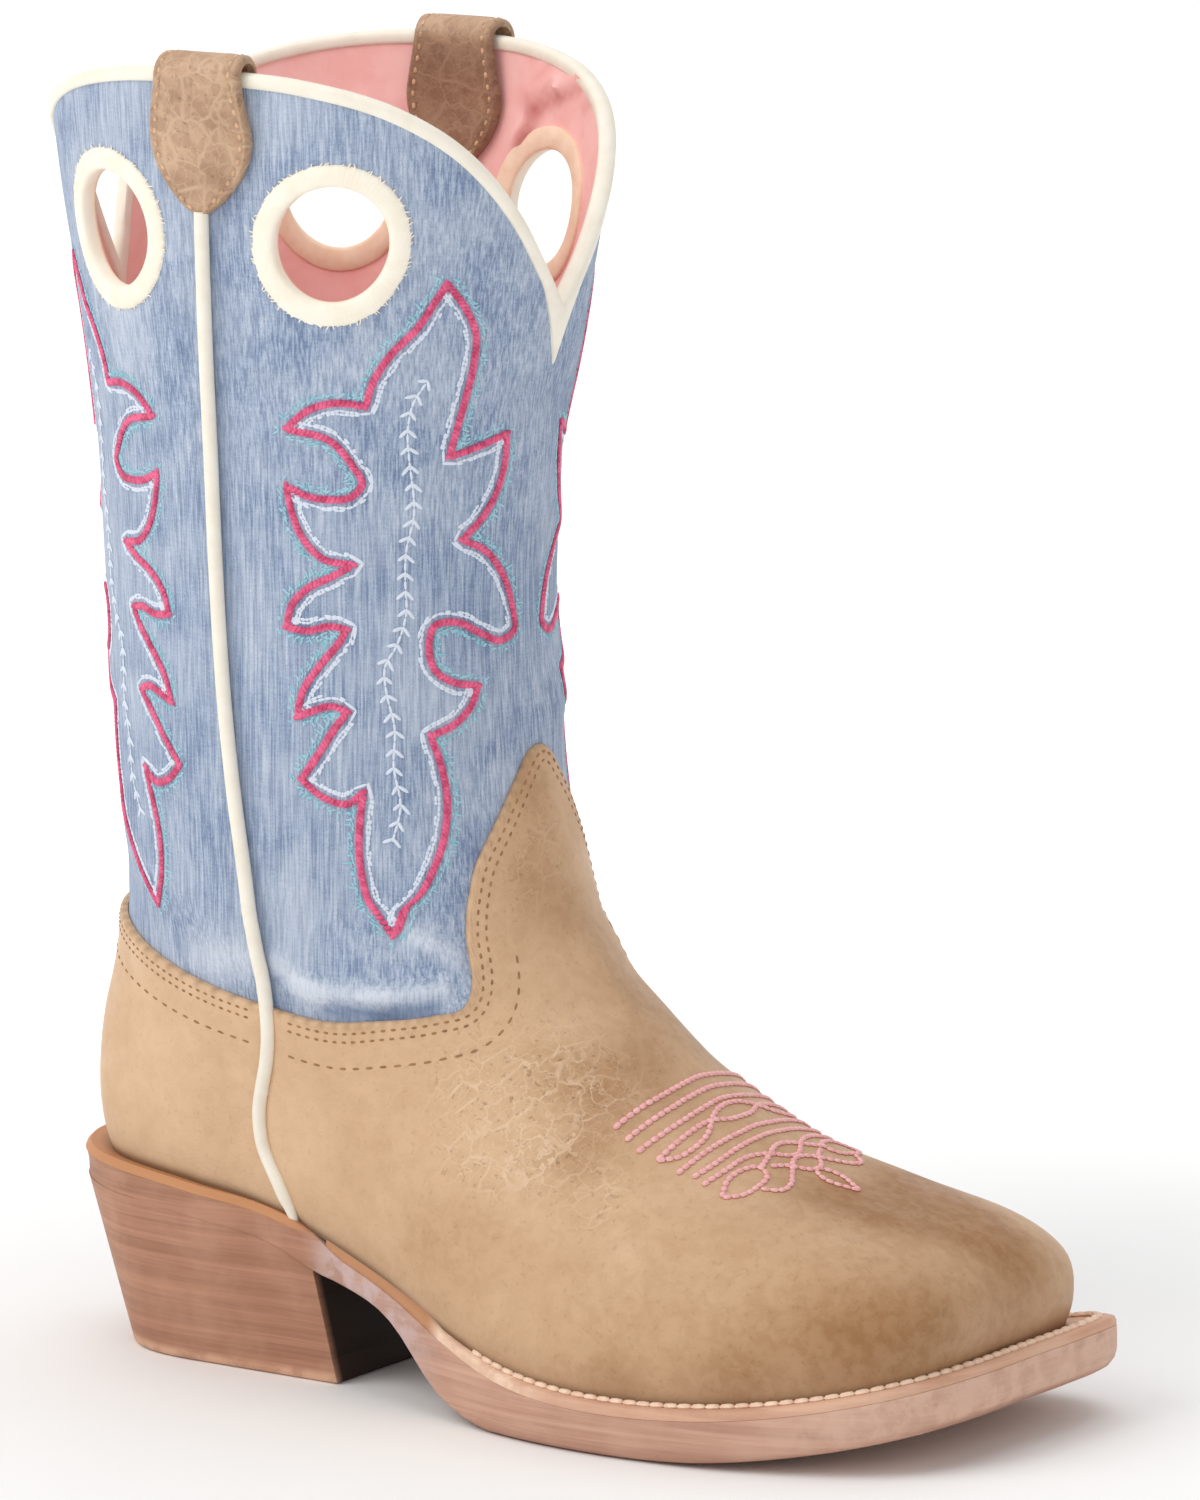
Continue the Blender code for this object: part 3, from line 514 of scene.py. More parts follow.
def lengths(points):
    """Length run along a line of points up to each of them."""
    return np.concatenate([[0], np.cumsum(np.linalg.norm(np.diff(points, axis=0), axis=-1))])


def by_length(points, step=None, count=None):
    """Points read at even steps along a line of points."""
    run = lengths(points)
    places = np.linspace(0, run[-1], count or max(2, int(round(run[-1] / step)) + 1))
    return np.stack([np.interp(places, run, points[:, axis]) for axis in range(points.shape[1])], -1)


def broken_row(run, thread, sink=0.25):
    """Stitches on every other step of a row of points and normals."""
    starts = run[:-1:2]
    stops = run[1::2][:len(starts)]
    return stitch_shape(starts[:, :3], stops[:, :3], unit(starts[:, 3:]), thread, sink)


def soft_step(value, low, high):
    """0 below low, 1 above high, smooth between."""
    t = np.clip((value - low) / (high - low), 0, 1)
    return t * t * (3 - 2 * t)


def fade(distance, width):
    """1 at no distance, fading away over a width."""
    return np.exp(-(distance / width) ** 2)


def near_line(points, start, end, width):
    """Soft share from 1 on a straight line between two points to 0 away from it."""
    start, end = np.asarray(start, float), np.asarray(end, float)
    along = end - start
    t = np.clip(((points - start) @ along) / (along @ along), 0, 1)
    return fade(np.linalg.norm(points - start - t[..., None] * along, axis=-1), width)


# Materials

def linear(colour):
    """Screen colour from 0 to 1 as light."""
    colour = np.asarray(colour[:3], float)
    return tuple(np.where(colour <= 0.04045, colour / 12.92, ((colour + 0.055) / 1.055) ** 2.4)) + (1.0,)


def grey(light):
    """Grey of a given light."""
    return (light, light, light, 1.0)


class Desk:
    """Adds nodes to one tree and links them."""

    def __init__(self, tree):
        self.tree = tree

    def link(self, source, goal):
        self.tree.links.new(source, goal)

    def add(self, kind, inputs=None, **settings):
        made = self.tree.nodes.new(kind)
        for key, value in settings.items():
            setattr(made, key, value)
        for key, value in (inputs or {}).items():
            if isinstance(value, bpy.types.NodeSocket):
                self.link(value, made.inputs[key])
            else:
                made.inputs[key].default_value = value
        return made

    def maths(self, operation, a, b=0.0):
        return self.add("ShaderNodeMath", {0: a, 1: b}, operation=operation).outputs[0]

    def times(self, a, b):
        return self.maths("MULTIPLY", a, b)

    def plus(self, a, b):
        return self.maths("ADD", a, b)

    def total(self, *parts):
        """Sum of values, each by its share."""
        whole, *others = [self.times(value, share) for value, share in parts]
        for other in others:
            whole = self.plus(whole, other)
        return whole

    def eased(self, value, base, share):
        """A base with a share of a value on top."""
        return self.plus(base, self.times(value, share))

    def mix(self, share, a, b):
        return self.add("ShaderNodeMix", {0: share, 6: a, 7: b}, data_type="RGBA").outputs[2]

    def noise(self, vector, scale, detail=2.0, rough=0.5, warp=0.0):
        inputs = {"Vector": vector, "Scale": scale, "Detail": detail, "Roughness": rough, "Distortion": warp}
        return self.add("ShaderNodeTexNoise", inputs).outputs[0]

    def web(self, vector, scale):
        """Distance from the borders of scattered cells."""
        inputs = {"Vector": vector, "Scale": scale}
        return self.add("ShaderNodeTexVoronoi", inputs, feature="DISTANCE_TO_EDGE").outputs["Distance"]

    def span(self, value, low, high, start=0.0, stop=1.0):
        inputs = {0: value, 1: low, 2: high, 3: start, 4: stop}
        return self.add("ShaderNodeMapRange", inputs, interpolation_type="SMOOTHSTEP").outputs[0]

    def vectors(self, operation, a, b):
        return self.add("ShaderNodeVectorMath", {0: a, 1: b}, operation=operation).outputs[0]

    def mask(self, name):
        return self.add("ShaderNodeAttribute", attribute_name=name).outputs["Fac"]

    def place(self):
        """Place on the boot in millimetres."""
        spot = self.add("ShaderNodeTexCoord").outputs["Object"]
        return self.add("ShaderNodeVectorMath", {0: spot, 3: 1 / MM}, operation="SCALE").outputs[0]

    def group(self, name, place, **values):
        """Outputs of an effect at a place, with its own values."""
        inputs = {key.capitalize(): value for key, value in values.items()}
        return self.add("ShaderNodeGroup", {"Place": place, **inputs}, node_tree=effects()[name]).outputs


def effect(name, values, outputs):
    """New shader node group: its desk, and the sockets that it gets and puts out, by name."""
    tree = bpy.data.node_groups.new(name, "ShaderNodeTree")
    tree.interface.new_socket("Place", in_out="INPUT", socket_type="NodeSocketVector")
    for title in values:
        tree.interface.new_socket(title, in_out="INPUT", socket_type="NodeSocketFloat")
    for title in outputs:
        tree.interface.new_socket(title, in_out="OUTPUT", socket_type="NodeSocketFloat")
    return Desk(tree), tree.nodes.new("NodeGroupInput").outputs, tree.nodes.new("NodeGroupOutput").inputs


def make_streaks(name, upright, warp, low, high):
    """Long thin streaks: upright, or level and long in both flat directions."""
    desk, get, put = effect(name, ["Across", "Along"], ["Mask"])
    flat, tall = (get["Across"], get["Along"]) if upright else (get["Along"], get["Across"])
    scale = desk.add("ShaderNodeCombineXYZ", {0: flat, 1: flat, 2: tall}).outputs[0]
    fine = desk.noise(desk.vectors("MULTIPLY", get["Place"], scale), 1.0, 3.0, 0.6, warp)
    desk.link(desk.span(fine, low, high), put["Mask"])
    return desk.tree


def make_mottle():
    """Cloudy patches between two noise levels."""
    desk, get, put = effect("mottle", ["Scale", "Low", "High"], ["Mask"])
    cloud = desk.noise(get["Place"], get["Scale"], 4.0, 0.58, 0.3)
    desk.link(desk.span(cloud, get["Low"], get["High"]), put["Mask"])
    return desk.tree


def make_grain():
    """Pebbled leather grain: height of the pebbles and a mask of fine marbled veins."""
    desk, get, put = effect("grain", ["Scale", "Vein"], ["Height", "Veins"])
    place, scale, vein = get["Place"], get["Scale"], get["Vein"]
    bent = desk.vectors("ADD", place, desk.noise(place, desk.times(scale, 0.6), 2.0))
    pebble = desk.span(desk.web(bent, scale), 0.0, 0.35)
    fine = desk.noise(place, desk.times(scale, 2.3), 3.0)
    desk.link(desk.total((pebble, 0.6), (fine, 0.4)), put["Height"])
    drift = desk.times(desk.noise(place, desk.times(vein, 1.4), 3.0), 7.0)
    wavy = desk.vectors("ADD", place, drift)
    broad = desk.span(desk.web(wavy, vein), 0.0, 0.075, 1.0, 0.0)
    narrow = desk.span(desk.web(wavy, desk.times(vein, 2.2)), 0.0, 0.070, 0.6, 0.0)
    desk.link(desk.maths("MAXIMUM", broad, narrow), put["Veins"])
    return desk.tree


def make_speckle():
    """Small scattered spots."""
    desk, get, put = effect("speckle", ["Scale", "Cut"], ["Mask"])
    spots = desk.noise(get["Place"], get["Scale"], 2.0, 0.55)
    desk.link(desk.span(spots, get["Cut"], desk.plus(get["Cut"], 0.08)), put["Mask"])
    return desk.tree


EFFECTS = {}


def effects():
    """The node groups by name, made once."""
    if not EFFECTS:
        EFFECTS["streaks"] = make_streaks("streaks", True, 0.0, 0.32, 0.68)
        EFFECTS["layers"] = make_streaks("layers", False, 0.15, 0.36, 0.64)
        EFFECTS.update(mottle=make_mottle(), grain=make_grain(), speckle=make_speckle())
    return EFFECTS


def material(name, roughness, coat=0.0, sheen=0.0):
    """Empty material: itself, its desk and its shader."""
    made = bpy.data.materials.new(name)
    made.use_nodes = True
    desk = Desk(made.node_tree)
    shader = made.node_tree.nodes["Principled BSDF"]
    shader.inputs["Roughness"].default_value = roughness
    shader.inputs["Coat Weight"].default_value = coat
    shader.inputs["Sheen Weight"].default_value = sheen
    return made, desk, shader


def finish(desk, shader, colour, height=None, strength=0.4, distance=0.2, rough=None):
    """Link colour, bump and roughness to the shader."""
    desk.link(colour, shader.inputs["Base Color"])
    if rough is not None:
        desk.link(rough, shader.inputs["Roughness"])
    if height is not None:
        bump = desk.add("ShaderNodeBump", {"Strength": strength, "Distance": distance * MM, "Height": height})
        desk.link(bump.outputs[0], shader.inputs["Normal"])


def denim_finish(dark, mid, pale):
    """Washed denim: upright slubs, fine twill, pale streaks with a painted highlight, painted shade."""
    made, desk, shader = material("washed_denim", 0.92, sheen=0.08)
    place = desk.place()
    slub = desk.group("streaks", place, across=2.3, along=0.075)["Mask"]
    band = desk.group("streaks", place, across=0.50, along=0.030)["Mask"]
    weft = desk.group("layers", place, across=2.2, along=0.30)["Mask"]
    cloud = desk.group("mottle", place, scale=0.075, low=0.34, high=0.66)["Mask"]
    nap = desk.noise(place, scale=2.6, detail=3.0, rough=0.65)
    twill = desk.maths("SINE", desk.times(desk.plus(desk.mask("around"), desk.mask("up")), 5.2))
    weave = desk.total((slub, 0.36), (band, 0.13), (weft, 0.06), (nap, 0.44))
    colour = desk.mix(desk.span(weave, 0.24, 0.58), dark, mid)
    colour = desk.mix(desk.times(desk.span(weave, 0.50, 0.88), 0.70), colour, pale)
    colour = desk.mix(desk.times(cloud, 0.24), colour, pale)
    # pale streaks: washed denim, and one painted highlight
    wisp = desk.times(desk.mask("wash"), desk.eased(weave, 0.45, 0.9))
    colour = desk.mix(desk.maths("MINIMUM", wisp, 0.9), colour, pale)
    # painted shade beside the seams and in the folds, and unworn strips under the folds
    colour = desk.mix(desk.times(desk.mask("shade"), 0.75), colour, dark)
    height = desk.total((slub, 0.5), (weft, 0.4), (twill, 0.10))
    finish(desk, shader, colour, height, strength=0.40, distance=0.22)
    return made


def leather_finish(name, light, dark, deep, pale, vein, mottled, worn):
    """Distressed leather: mottled tone, dark patches with pores, pale crackle and pebbled grain."""
    made, desk, shader = material(name, 0.55, coat=0.16)
    shader.inputs["Coat Roughness"].default_value = 0.4
    place = desk.place()
    tone = desk.group("mottle", place, scale=0.05, low=0.34, high=0.68)["Mask"]
    fine = desk.group("mottle", place, scale=0.32, low=0.38, high=0.64)["Mask"]
    pores = desk.group("speckle", place, scale=0.8, cut=0.61)["Mask"]
    grain = desk.group("grain", place, scale=0.85, vein=vein)
    patch, crackle = desk.mask("patch"), desk.mask("crackle")
    colour = desk.mix(desk.times(tone, 0.16), light, dark)
    colour = desk.mix(desk.times(fine, mottled), colour, dark)
    colour = desk.mix(desk.times(patch, desk.eased(fine, 0.84, 0.16)), colour, dark)
    marked = desk.total((patch, 0.15), (crackle, 0.26))
    colour = desk.mix(desk.times(pores, desk.plus(0.08, marked)), colour, deep)
    # burnished edges, with painted shade along the foot of the vamp and counter and in the straps' sewn
    # grooves
    colour = desk.mix(desk.mask("burnish"), colour, deep)
    veins = desk.times(desk.times(crackle, grain["Veins"]), desk.eased(fine, 0.45, 0.55))
    colour = desk.mix(desk.times(veins, worn), colour, pale)
    rough = desk.span(tone, 0.0, 1.0, 0.50, 0.64)
    finish(desk, shader, colour, grain["Height"], 0.22, 0.25, rough)
    return made


def plain_finish(name, colour, second, crease, roughness, scale, amount, strength, coat=0.0, sheen=0.0):
    """Smooth or threaded material with a soft change of tone, and painted shade in creases where a piece has
    them.
    """
    made, desk, shader = material(name, roughness, coat, sheen)
    place = desk.place()
    tone = desk.group("mottle", place, scale=scale, low=0.35, high=0.68)["Mask"]
    shade = desk.mix(desk.times(tone, amount), colour, second)
    # painted shade in the lining's creases
    shade = desk.mix(desk.mask("crease"), shade, crease)
    finish(desk, shader, shade, desk.noise(place, scale * 6, 3.0), strength, 0.15)
    return made


def stack_finish(name, colour, second, pale, waist, rim, layer, thin, thick):
    """Stacked leather edge: long level streaks, a pale edge of wear and painted highlight, painted shade
    under the arch.
    """
    made, desk, shader = material(name, 0.58)
    shader.inputs["Specular IOR Level"].default_value = 0.25
    place = desk.place()
    fine = desk.group("layers", place, across=layer, along=0.022)["Mask"]
    broad = desk.group("layers", place, across=layer * 0.22, along=0.014)["Mask"]
    tone = desk.group("mottle", place, scale=0.07, low=0.35, high=0.7)["Mask"]
    patchiness = desk.group("mottle", place, scale=0.22, low=0.36, high=0.60)["Mask"]
    shade = desk.mix(desk.times(fine, thin), colour, second)
    shade = desk.mix(desk.times(broad, thick), shade, second)
    shade = desk.mix(desk.times(tone, 0.22), shade, pale)
    # pale edge: rubbed wear on the last lift, scuffs and a painted highlight at the outsole's toe, a painted
    # highlight on the welt
    shade = desk.mix(desk.times(desk.mask("pale"), desk.eased(patchiness, 0.40, 0.60)), shade, pale)
    shade = desk.mix(desk.times(desk.mask("waist"), desk.eased(patchiness, 0.30, 0.70)), shade, waist)
    shade = desk.mix(desk.mask("rim"), shade, rim)
    # painted shade under the shank, in the groove over the seat's rim and on the heel's breast; the welt
    # darkens along the waist
    shade = desk.mix(desk.mask("dark"), shade, DEEP_SHADE)
    finish(desk, shader, shade, fine, 0.16, 0.2)
    return made


# Leather by its key, which its colours share: name, scale of the veins, mottling, wear
LEATHER_FINISHES = {
    "tan": ("tan_leather", 0.19, 0.08, 0.6),
    "strap": ("strap_leather", 0.13, 0.32, 0.5),
}

# Plain materials: name, colour, second colour, roughness, scale and amount of the tone, bump, coat, sheen
PLAIN_FINISHES = {
    "lining": ("coral_lining", "lining", "lining_deep", 0.85, 0.12, 0.40, 0.35, 0.00, 0.10),
    "cream": ("cream_piping", "cream", "cream_deep", 0.50, 0.20, 0.30, 0.12, 0.05),
    "ring": ("cream_stitching", "ring", "ring_deep", 0.75, 0.16, 0.35, 0.10, 0.00, 0.05),
    "pink": ("pink_thread", "pink", "pink_deep", 0.60, 0.50, 0.85, 0.30, 0.00, 0.10),
    "aqua": ("aqua_thread", "aqua", "aqua_pale", 0.65, 0.60, 0.80, 0.30),
    "white": ("pale_thread", "pale_thread", "denim_pale", 0.70, 0.50, 0.60, 0.30),
    "rose": ("rose_thread", "rose", "rose_deep", 0.60, 0.70, 0.60, 0.30),
    "brown": ("brown_thread", "brown_thread", "tan_deep", 0.70, 0.60, 0.50, 0.30),
    "insole": ("insole_leather", "insole", "tan_dark", 0.80, 0.10, 0.50, 0.30),
    "facing": ("hole_facing", "facing", "facing_deep", 0.60, 0.20, 0.50, 0.25),
    "strap_thread": ("strap_thread", "strap_thread", "strap_dark", 0.70, 0.60, 0.50, 0.30),
    "peach": ("peach_thread", "peach", "welt", 0.60, 0.50, 0.50, 0.30),
}

# Stacked leather by its key: name, colour of the worn and painted-highlight edge, scale of the layers, thin
# and thick layers
STACK_FINISHES = {
    "welt": ("welt_leather", "peach", 0.9, 0.25, 0.30),
    "sole": ("sole_leather", "sole_pale", 1.2, 0.30, 0.48),
    "heel": ("heel_leather", "heel_pale", 1.5, 0.20, 0.30),
}
DEEP_SHADE = (0.012, 0.006, 0.003, 1.0)
FINISHES = {}


def finishes():
    """Every material of the boot by its key, made once from the colours."""
    if FINISHES:
        return FINISHES

    def tones(*keys):
        return [linear(getattr(bpy.context.scene.boot_colours, key)) for key in keys]

    FINISHES["denim"] = denim_finish(*tones("denim_dark", "denim", "denim_pale"))
    for key, (name, *values) in LEATHER_FINISHES.items():
        shades = tones(key, f"{key}_dark", f"{key}_deep", f"{key}_pale")
        FINISHES[key] = leather_finish(name, *shades, *values)
    for key, (name, colour, second, *values) in PLAIN_FINISHES.items():
        FINISHES[key] = plain_finish(name, *tones(colour, second, "crease"), *values)
    for key, (name, pale, *values) in STACK_FINISHES.items():
        FINISHES[key] = stack_finish(name, *tones(key, f"{key}_deep", pale, "waist", "rim"), *values)
    return FINISHES


# Shaft

HOLES = [(side, end) for side in (-1, 1) for end in (1, -1)]
SIDE_NAME = {-1: "outer", 1: "inner"}
END_NAME = {1: "front", -1: "back"}
CUT_BEYOND, CUT_DEPTH = 0.9, 24.0  # room round a pull hole in the wall, length of its cutter
SHAFT_COLUMNS, BINDING_COLUMNS = (124, 84), (128, 88)  # points round the front and the back
SHAFT_ROWS, LINING_ROWS = 116, 106
UNDERLAP = 0.11  # levels that the denim runs under the overlays
SEAM_SHADE = 3.0  # width of the shade beside a side seam
LINING_START, LINING_BACK = 0.01, 1.05  # lowest level, depth of the lining's hidden face
LINING_SPACING = 0.65  # under 1, rows stand closer at the collar


def hole_place(side, end):
    """Angle and level of a pull hole's middle; side -1 outer or 1 inner, end 1 front or -1 back."""
    level = 1 + level_drop(HOLE_HEIGHT - INSTEP_HEIGHT)
    trial = np.linspace(0.2, np.pi - 0.2, 600) * side
    x = surface(trial, level)[:, 0]
    seam_x = surface(side * QUARTER, level)[0]
    return trial[np.argmin(np.abs(x - seam_x - end * HOLE_FROM_SEAM))], level


def hole_cutter():
    """Four round cutters in one object, kept out of the picture."""
    form = bmesh.new()
    radius = (HOLE_RADIUS + CUT_BEYOND) * MM
    for side, end in HOLES:
        angle, level = hole_place(side, end)
        middle, out = surface(angle, level), outward(angle, level)
        turn = Vector((0, 0, 1)).rotation_difference(Vector((out[0], out[1], 0.0)))
        matrix = turn.to_matrix().to_4x4()
        matrix.translation = Vector((middle - ORIGIN) * MM)
        bmesh.ops.create_cone(form, cap_ends=True, segments=72, radius1=radius, radius2=radius,
                              depth=CUT_DEPTH * MM, matrix=matrix)
    mesh = bpy.data.meshes.new("hole_cutter")
    form.to_mesh(mesh)
    form.free()
    return placed("hole_cutter", mesh)


def cut_holes(*pieces):
    """Cut the pull holes through pieces and take the cutter away."""
    tool = hole_cutter()
    for piece in pieces:
        cut = piece.modifiers.new("holes", "BOOLEAN")
        cut.operation, cut.solver, cut.object = "DIFFERENCE", "EXACT", tool
        bpy.context.view_layer.update()
        mesh = bpy.data.meshes.new_from_object(piece.evaluated_get(bpy.context.evaluated_depsgraph_get()))
        piece.modifiers.remove(cut)
        piece.data = mesh
    bpy.data.objects.remove(tool, do_unlink=True)


# Soft folds of the denim: angle and level of both ends, width, and depth (a ridge where it is negative)
DENIM_FOLDS = np.array([
    (-83, 0.867, -65, 0.891, 2.0, -0.8),
    (-65, 0.891, -50, 0.939, 2.0, -0.8),
    (-78, 0.812, -66, 0.838, 1.8, 0.5),
    (-66, 0.838, -55, 0.874, 1.8, 0.5),
    (-87, 0.940, -78, 0.850, 2.4, -0.6),
    (-51, 1.030, -42, 1.005, 2.4, -0.6),
    (-150, 1.03, -108, 0.92, 4.0, 0.5),
    (-140, 1.10, -98, 0.98, 5.0, -0.5),
    (-84, 1.02, -55, 1.06, 5.0, 0.4),
    (12, 1.62, 40, 1.52, 8.0, 0.9),
    (10, 1.24, 45, 1.30, 8.0, -0.9),
    (83, 0.87, 52, 0.93, 2.2, -0.7),
    (150, 1.10, 100, 0.96, 5.0, 0.6),
    (170, 1.35, 190, 1.30, 9.0, -0.5),
])

# Creases of the vamp and counter, in the same columns
LEATHER_FOLDS = np.array([
    (-52, 0.86, -30, 0.74, 7.0, 0.5),
    (-44, 0.80, -16, 0.80, 6.0, -0.4),
    (-38, 0.93, -10, 0.90, 5.0, 0.7),
    (-26, 1.03, 0,   0.98, 5.0, -0.3),
    (52,  0.86, 30,  0.74, 7.0, 0.5),
    (38,  0.93, 10,  0.90, 5.0, 0.6),
    (-62, 0.50, -36, 0.56, 8.0, 0.4),
    (62,  0.50, 36,  0.56, 8.0, 0.4),
    (-120, 0.45, -160, 0.50, 8.0, -0.3),
])


def relief(points, folds):
    """Height of the folds at points, in millimetres."""
    total = np.zeros(points.shape[:-1])
    for angle, level, angle_end, level_end, width, depth in folds:
        ends = surface(np.radians([angle, angle_end]), np.array([level, level_end]))
        total -= depth * near_line(points, ends[0], ends[1], width)
    return total


def over_folds(angle, level, folds, lift=0.0):
    """Points lifted off the folded face."""
    return offset_surface(angle, level, relief(surface(angle, level), folds) + lift)


def both_faces(**masks):
    """Masks of a shell's first face, repeated for its second."""
    return {key: np.tile(np.ravel(values), 2) for key, values in masks.items()}


def ring_columns(front, back):
    """Angles round the boot from the outer seam by the toe, and the heel, back to it."""
    return np.concatenate([
        np.linspace(-QUARTER, QUARTER, front, endpoint=False),
        np.linspace(QUARTER, 3 * QUARTER, back, endpoint=False),
    ])


def make_shaft(sizes):
    """Denim shaft from under the overlays to the collar, and the coral lining inside the whole boot."""
    angles = ring_columns(*SHAFT_COLUMNS)
    top = collar_level(angles)
    start = overlay_level(angles) - UNDERLAP
    levels = rows_by_length(angles, start, top, np.linspace(0, 1, SHAFT_ROWS))
    angle = np.broadcast_to(angles, levels.shape)
    points = surface(angle, levels)
    folds = relief(points, DENIM_FOLDS)
    outer = offset_surface(angle, levels, folds)
    inner = offset_surface(angle, levels, folds - sizes.denim_thick / MM)
    step = np.linalg.norm(np.diff(points, axis=1, append=points[:, :1]), axis=-1)
    seam = np.minimum(np.abs(angle + QUARTER), np.abs(angle - QUARTER)) * SHAFT_HALF
    # painted shade beside the side seams' cords and in the folds' hollows, with the dark strips under the
    # folds
    shade = 0.5 * fade(seam, SEAM_SHADE) - 0.3 * np.clip(folds, -1, 0)
    shade = shade + along_lines(points, SHADED)
    masks = both_faces(around=np.cumsum(step, axis=1) - step, up=points[..., 2],
                       wash=np.clip(along_lines(points, WASH_AND_HIGHLIGHT), 0, 1), shade=np.clip(shade, 0, 1))
    denim = add_piece("denim_shaft", shell(outer, inner, True), ["denim"], ["upper"], masks)
    shares = np.linspace(0, 1, LINING_ROWS) ** LINING_SPACING
    levels = rows_by_length(angles, LINING_START, top, shares)
    angle = np.broadcast_to(angles, levels.shape)
    points = surface(angle, levels)
    pressed = np.minimum(relief(points, DENIM_FOLDS), 0)
    face = offset_surface(angle, levels, pressed - WALL + relief(points, LINING_FOLDS))
    back = offset_surface(angle, levels, pressed - LINING_BACK)
    # painted shade in the lining's creases
    crease = np.clip(-relief(points, LINING_CREASES), 0, 1)
    lining = add_piece("coral_lining", shell(back, face, True), ["lining"],
                       masks=both_faces(crease=crease))
    cut_holes(denim, lining)


# Pale washed streaks on the denim, one of them a painted highlight: both ends, width, amount
WASH_AND_HIGHLIGHT = [
    ((71, -35, 84), (89, -32.5, 83), 2.0, 0.95),
    ((89, -32.5, 83), (100, -27, 85), 1.9, 0.85),
    ((66, -36, 88), (76, -35, 81.5), 2.2, 0.80),
    ((93.5, -28, 95.5), (101, -24, 91.5), 1.9, 0.95),
    ((57, -35.5, 88), (45, -33.5, 87), 4.5, 0.60),
    ((68, -36, 95), (72, -36, 101), 7.0, 0.30),
    ((102, -10, 127), (105, -4, 120), 2.5, 0.40),
    ((92, -29, 150), (97, -22, 140), 6.0, 0.25),
    # painted highlight high on the outer side near the back
    ((21, -36, 238), (30, -37, 212), 9.0, 0.45),
    ((30, -34, 252), (70, -44, 258), 9.0, 0.25),
    ((14, -24, 190), (20, -26, 150), 12.0, 0.20),
    ((72, 35, 84), (98, 28, 86), 2.2, 0.80),
    ((90, 26, 118), (96, 22, 108), 5.0, 0.40),
    ((30, 36, 120), (36, 38, 150), 9.0, 0.30),
    ((60, 42, 240), (85, 40, 252), 12.0, 0.30),
]

# Dark strips under the folds, in the same columns: painted shade under each ridge, and unworn denim
SHADED = [
    ((77, -34.5, 79.3), (89, -33, 79.6), 1.5, 0.95),
    ((89, -33, 79.6), (99.5, -29, 81), 1.5, 0.95),
    ((98, -24, 93), (102, -22, 89), 2.0, 0.40),
    ((100, -18, 112), (104, -10, 117), 3.0, 0.35),
    ((78, 34.5, 79.3), (99, 29, 81), 1.6, 0.90),
]


def along_lines(points, lines):
    """Sum of soft streaks at points."""
    return sum(amount * near_line(points, start, end, width) for start, end, width, amount in lines)


# Wrinkles of the lining under the collar, in the columns of the folds; they also give the painted shade in
# the creases
LINING_CREASES = np.array([
    (71, 1.918, 61, 1.938, 1.3, 0.45),
    (61, 1.938, 52, 1.956, 1.2, 0.36),
    (71, 1.934, 63.5, 1.952, 1.2, 0.30),
    (70, 1.950, 62.5, 1.990, 1.1, 0.20),
    (73, 1.874, 68, 1.918, 1.3, 0.42),
    (75, 1.862, 70, 1.892, 1.2, 0.30),
    (50, 1.930, 44, 1.952, 1.2, 0.22),
    (-70, 1.920, -56, 1.946, 1.3, 0.30),
    (112, 1.900, 128, 1.870, 1.4, 0.26),
    (-112, 1.900, -128, 1.870, 1.4, 0.26),
])
LINING_FOLDS = LINING_CREASES * (1, 1, 1, 1, 1.4, 2.8) + (0, 0.015, 0, 0.015, 0, 0)


# Leather

SEAM_SHARE = 0.3  # part of the bare strip left beside the cord
CUT_EDGE = np.array([(0.993, 0.12), (0.998, 0.40), (1.0, 0.80)])  # share of the height, share taken off
SIDE_EDGE = np.array([(3.0, 0.0), (1.4, 0.3), (0.0, 0.8)])  # columns from a side, share taken off
CUT_EDGE_LEFT = 0.2  # thickness that stays at the edge
OVERLAY_SINK = 0.1  # depth of an overlay's foot below the sole's top

# Overlays: node, middle angle, columns, rows
OVERLAYS = {
    "vamp_leather": ("vamp", 0.0, 200, 96),
    "heel_counter": ("counter", np.pi, 110, 60),
}

# Darker patches on the leather: place, width, amount
PATCHES = [
    ((126, -19, 70), 7.0, 0.28), ((133, -14, 67), 8.0, 0.34), ((141, -9, 63), 9.0, 0.26),
    ((134, -21, 61), 7.0, 0.34), ((134, -28, 54), 6.0, 0.40), ((132, -5, 72), 8.0, 0.28),
    ((172, -4, 48), 10.0, 0.28), ((181, 0, 45), 10.0, 0.52), ((189, 7, 43), 11.0, 0.66),
    ((195, 14, 41), 11.0, 0.62), ((204, 17, 37), 10.0, 0.45), ((185, 22, 42), 12.0, 0.40),
    ((190, -30, 26), 11.0, 0.30), ((200, -24, 27), 12.0, 0.38), ((207, -14, 28), 11.0, 0.34),
    ((210, 4, 27), 10.0, 0.25), ((176, -37, 18), 9.0, 0.40), ((150, -41, 14), 8.0, 0.34),
    ((104, -4, 124), 7.0, 0.42), ((107, -2, 112), 7.0, 0.24), ((106, -10, 105), 6.0, 0.28),
    ((110, -2, 100), 7.0, 0.28), ((113, 6, 92), 9.0, 0.34), ((122, 6, 80), 8.0, 0.36),
    ((130, 16, 66), 12.0, 0.50), ((120, 24, 70), 12.0, 0.40), ((176, 26, 44), 12.0, 0.45),
    ((8, 4, 70), 12.0, 0.22), ((30, 30, 60), 14.0, 0.26), ((46, -27, 50), 8.0, 0.20),
    ((102, -35, 38), 8.0, 0.20), ((118, -36, 40), 9.0, 0.16),
]

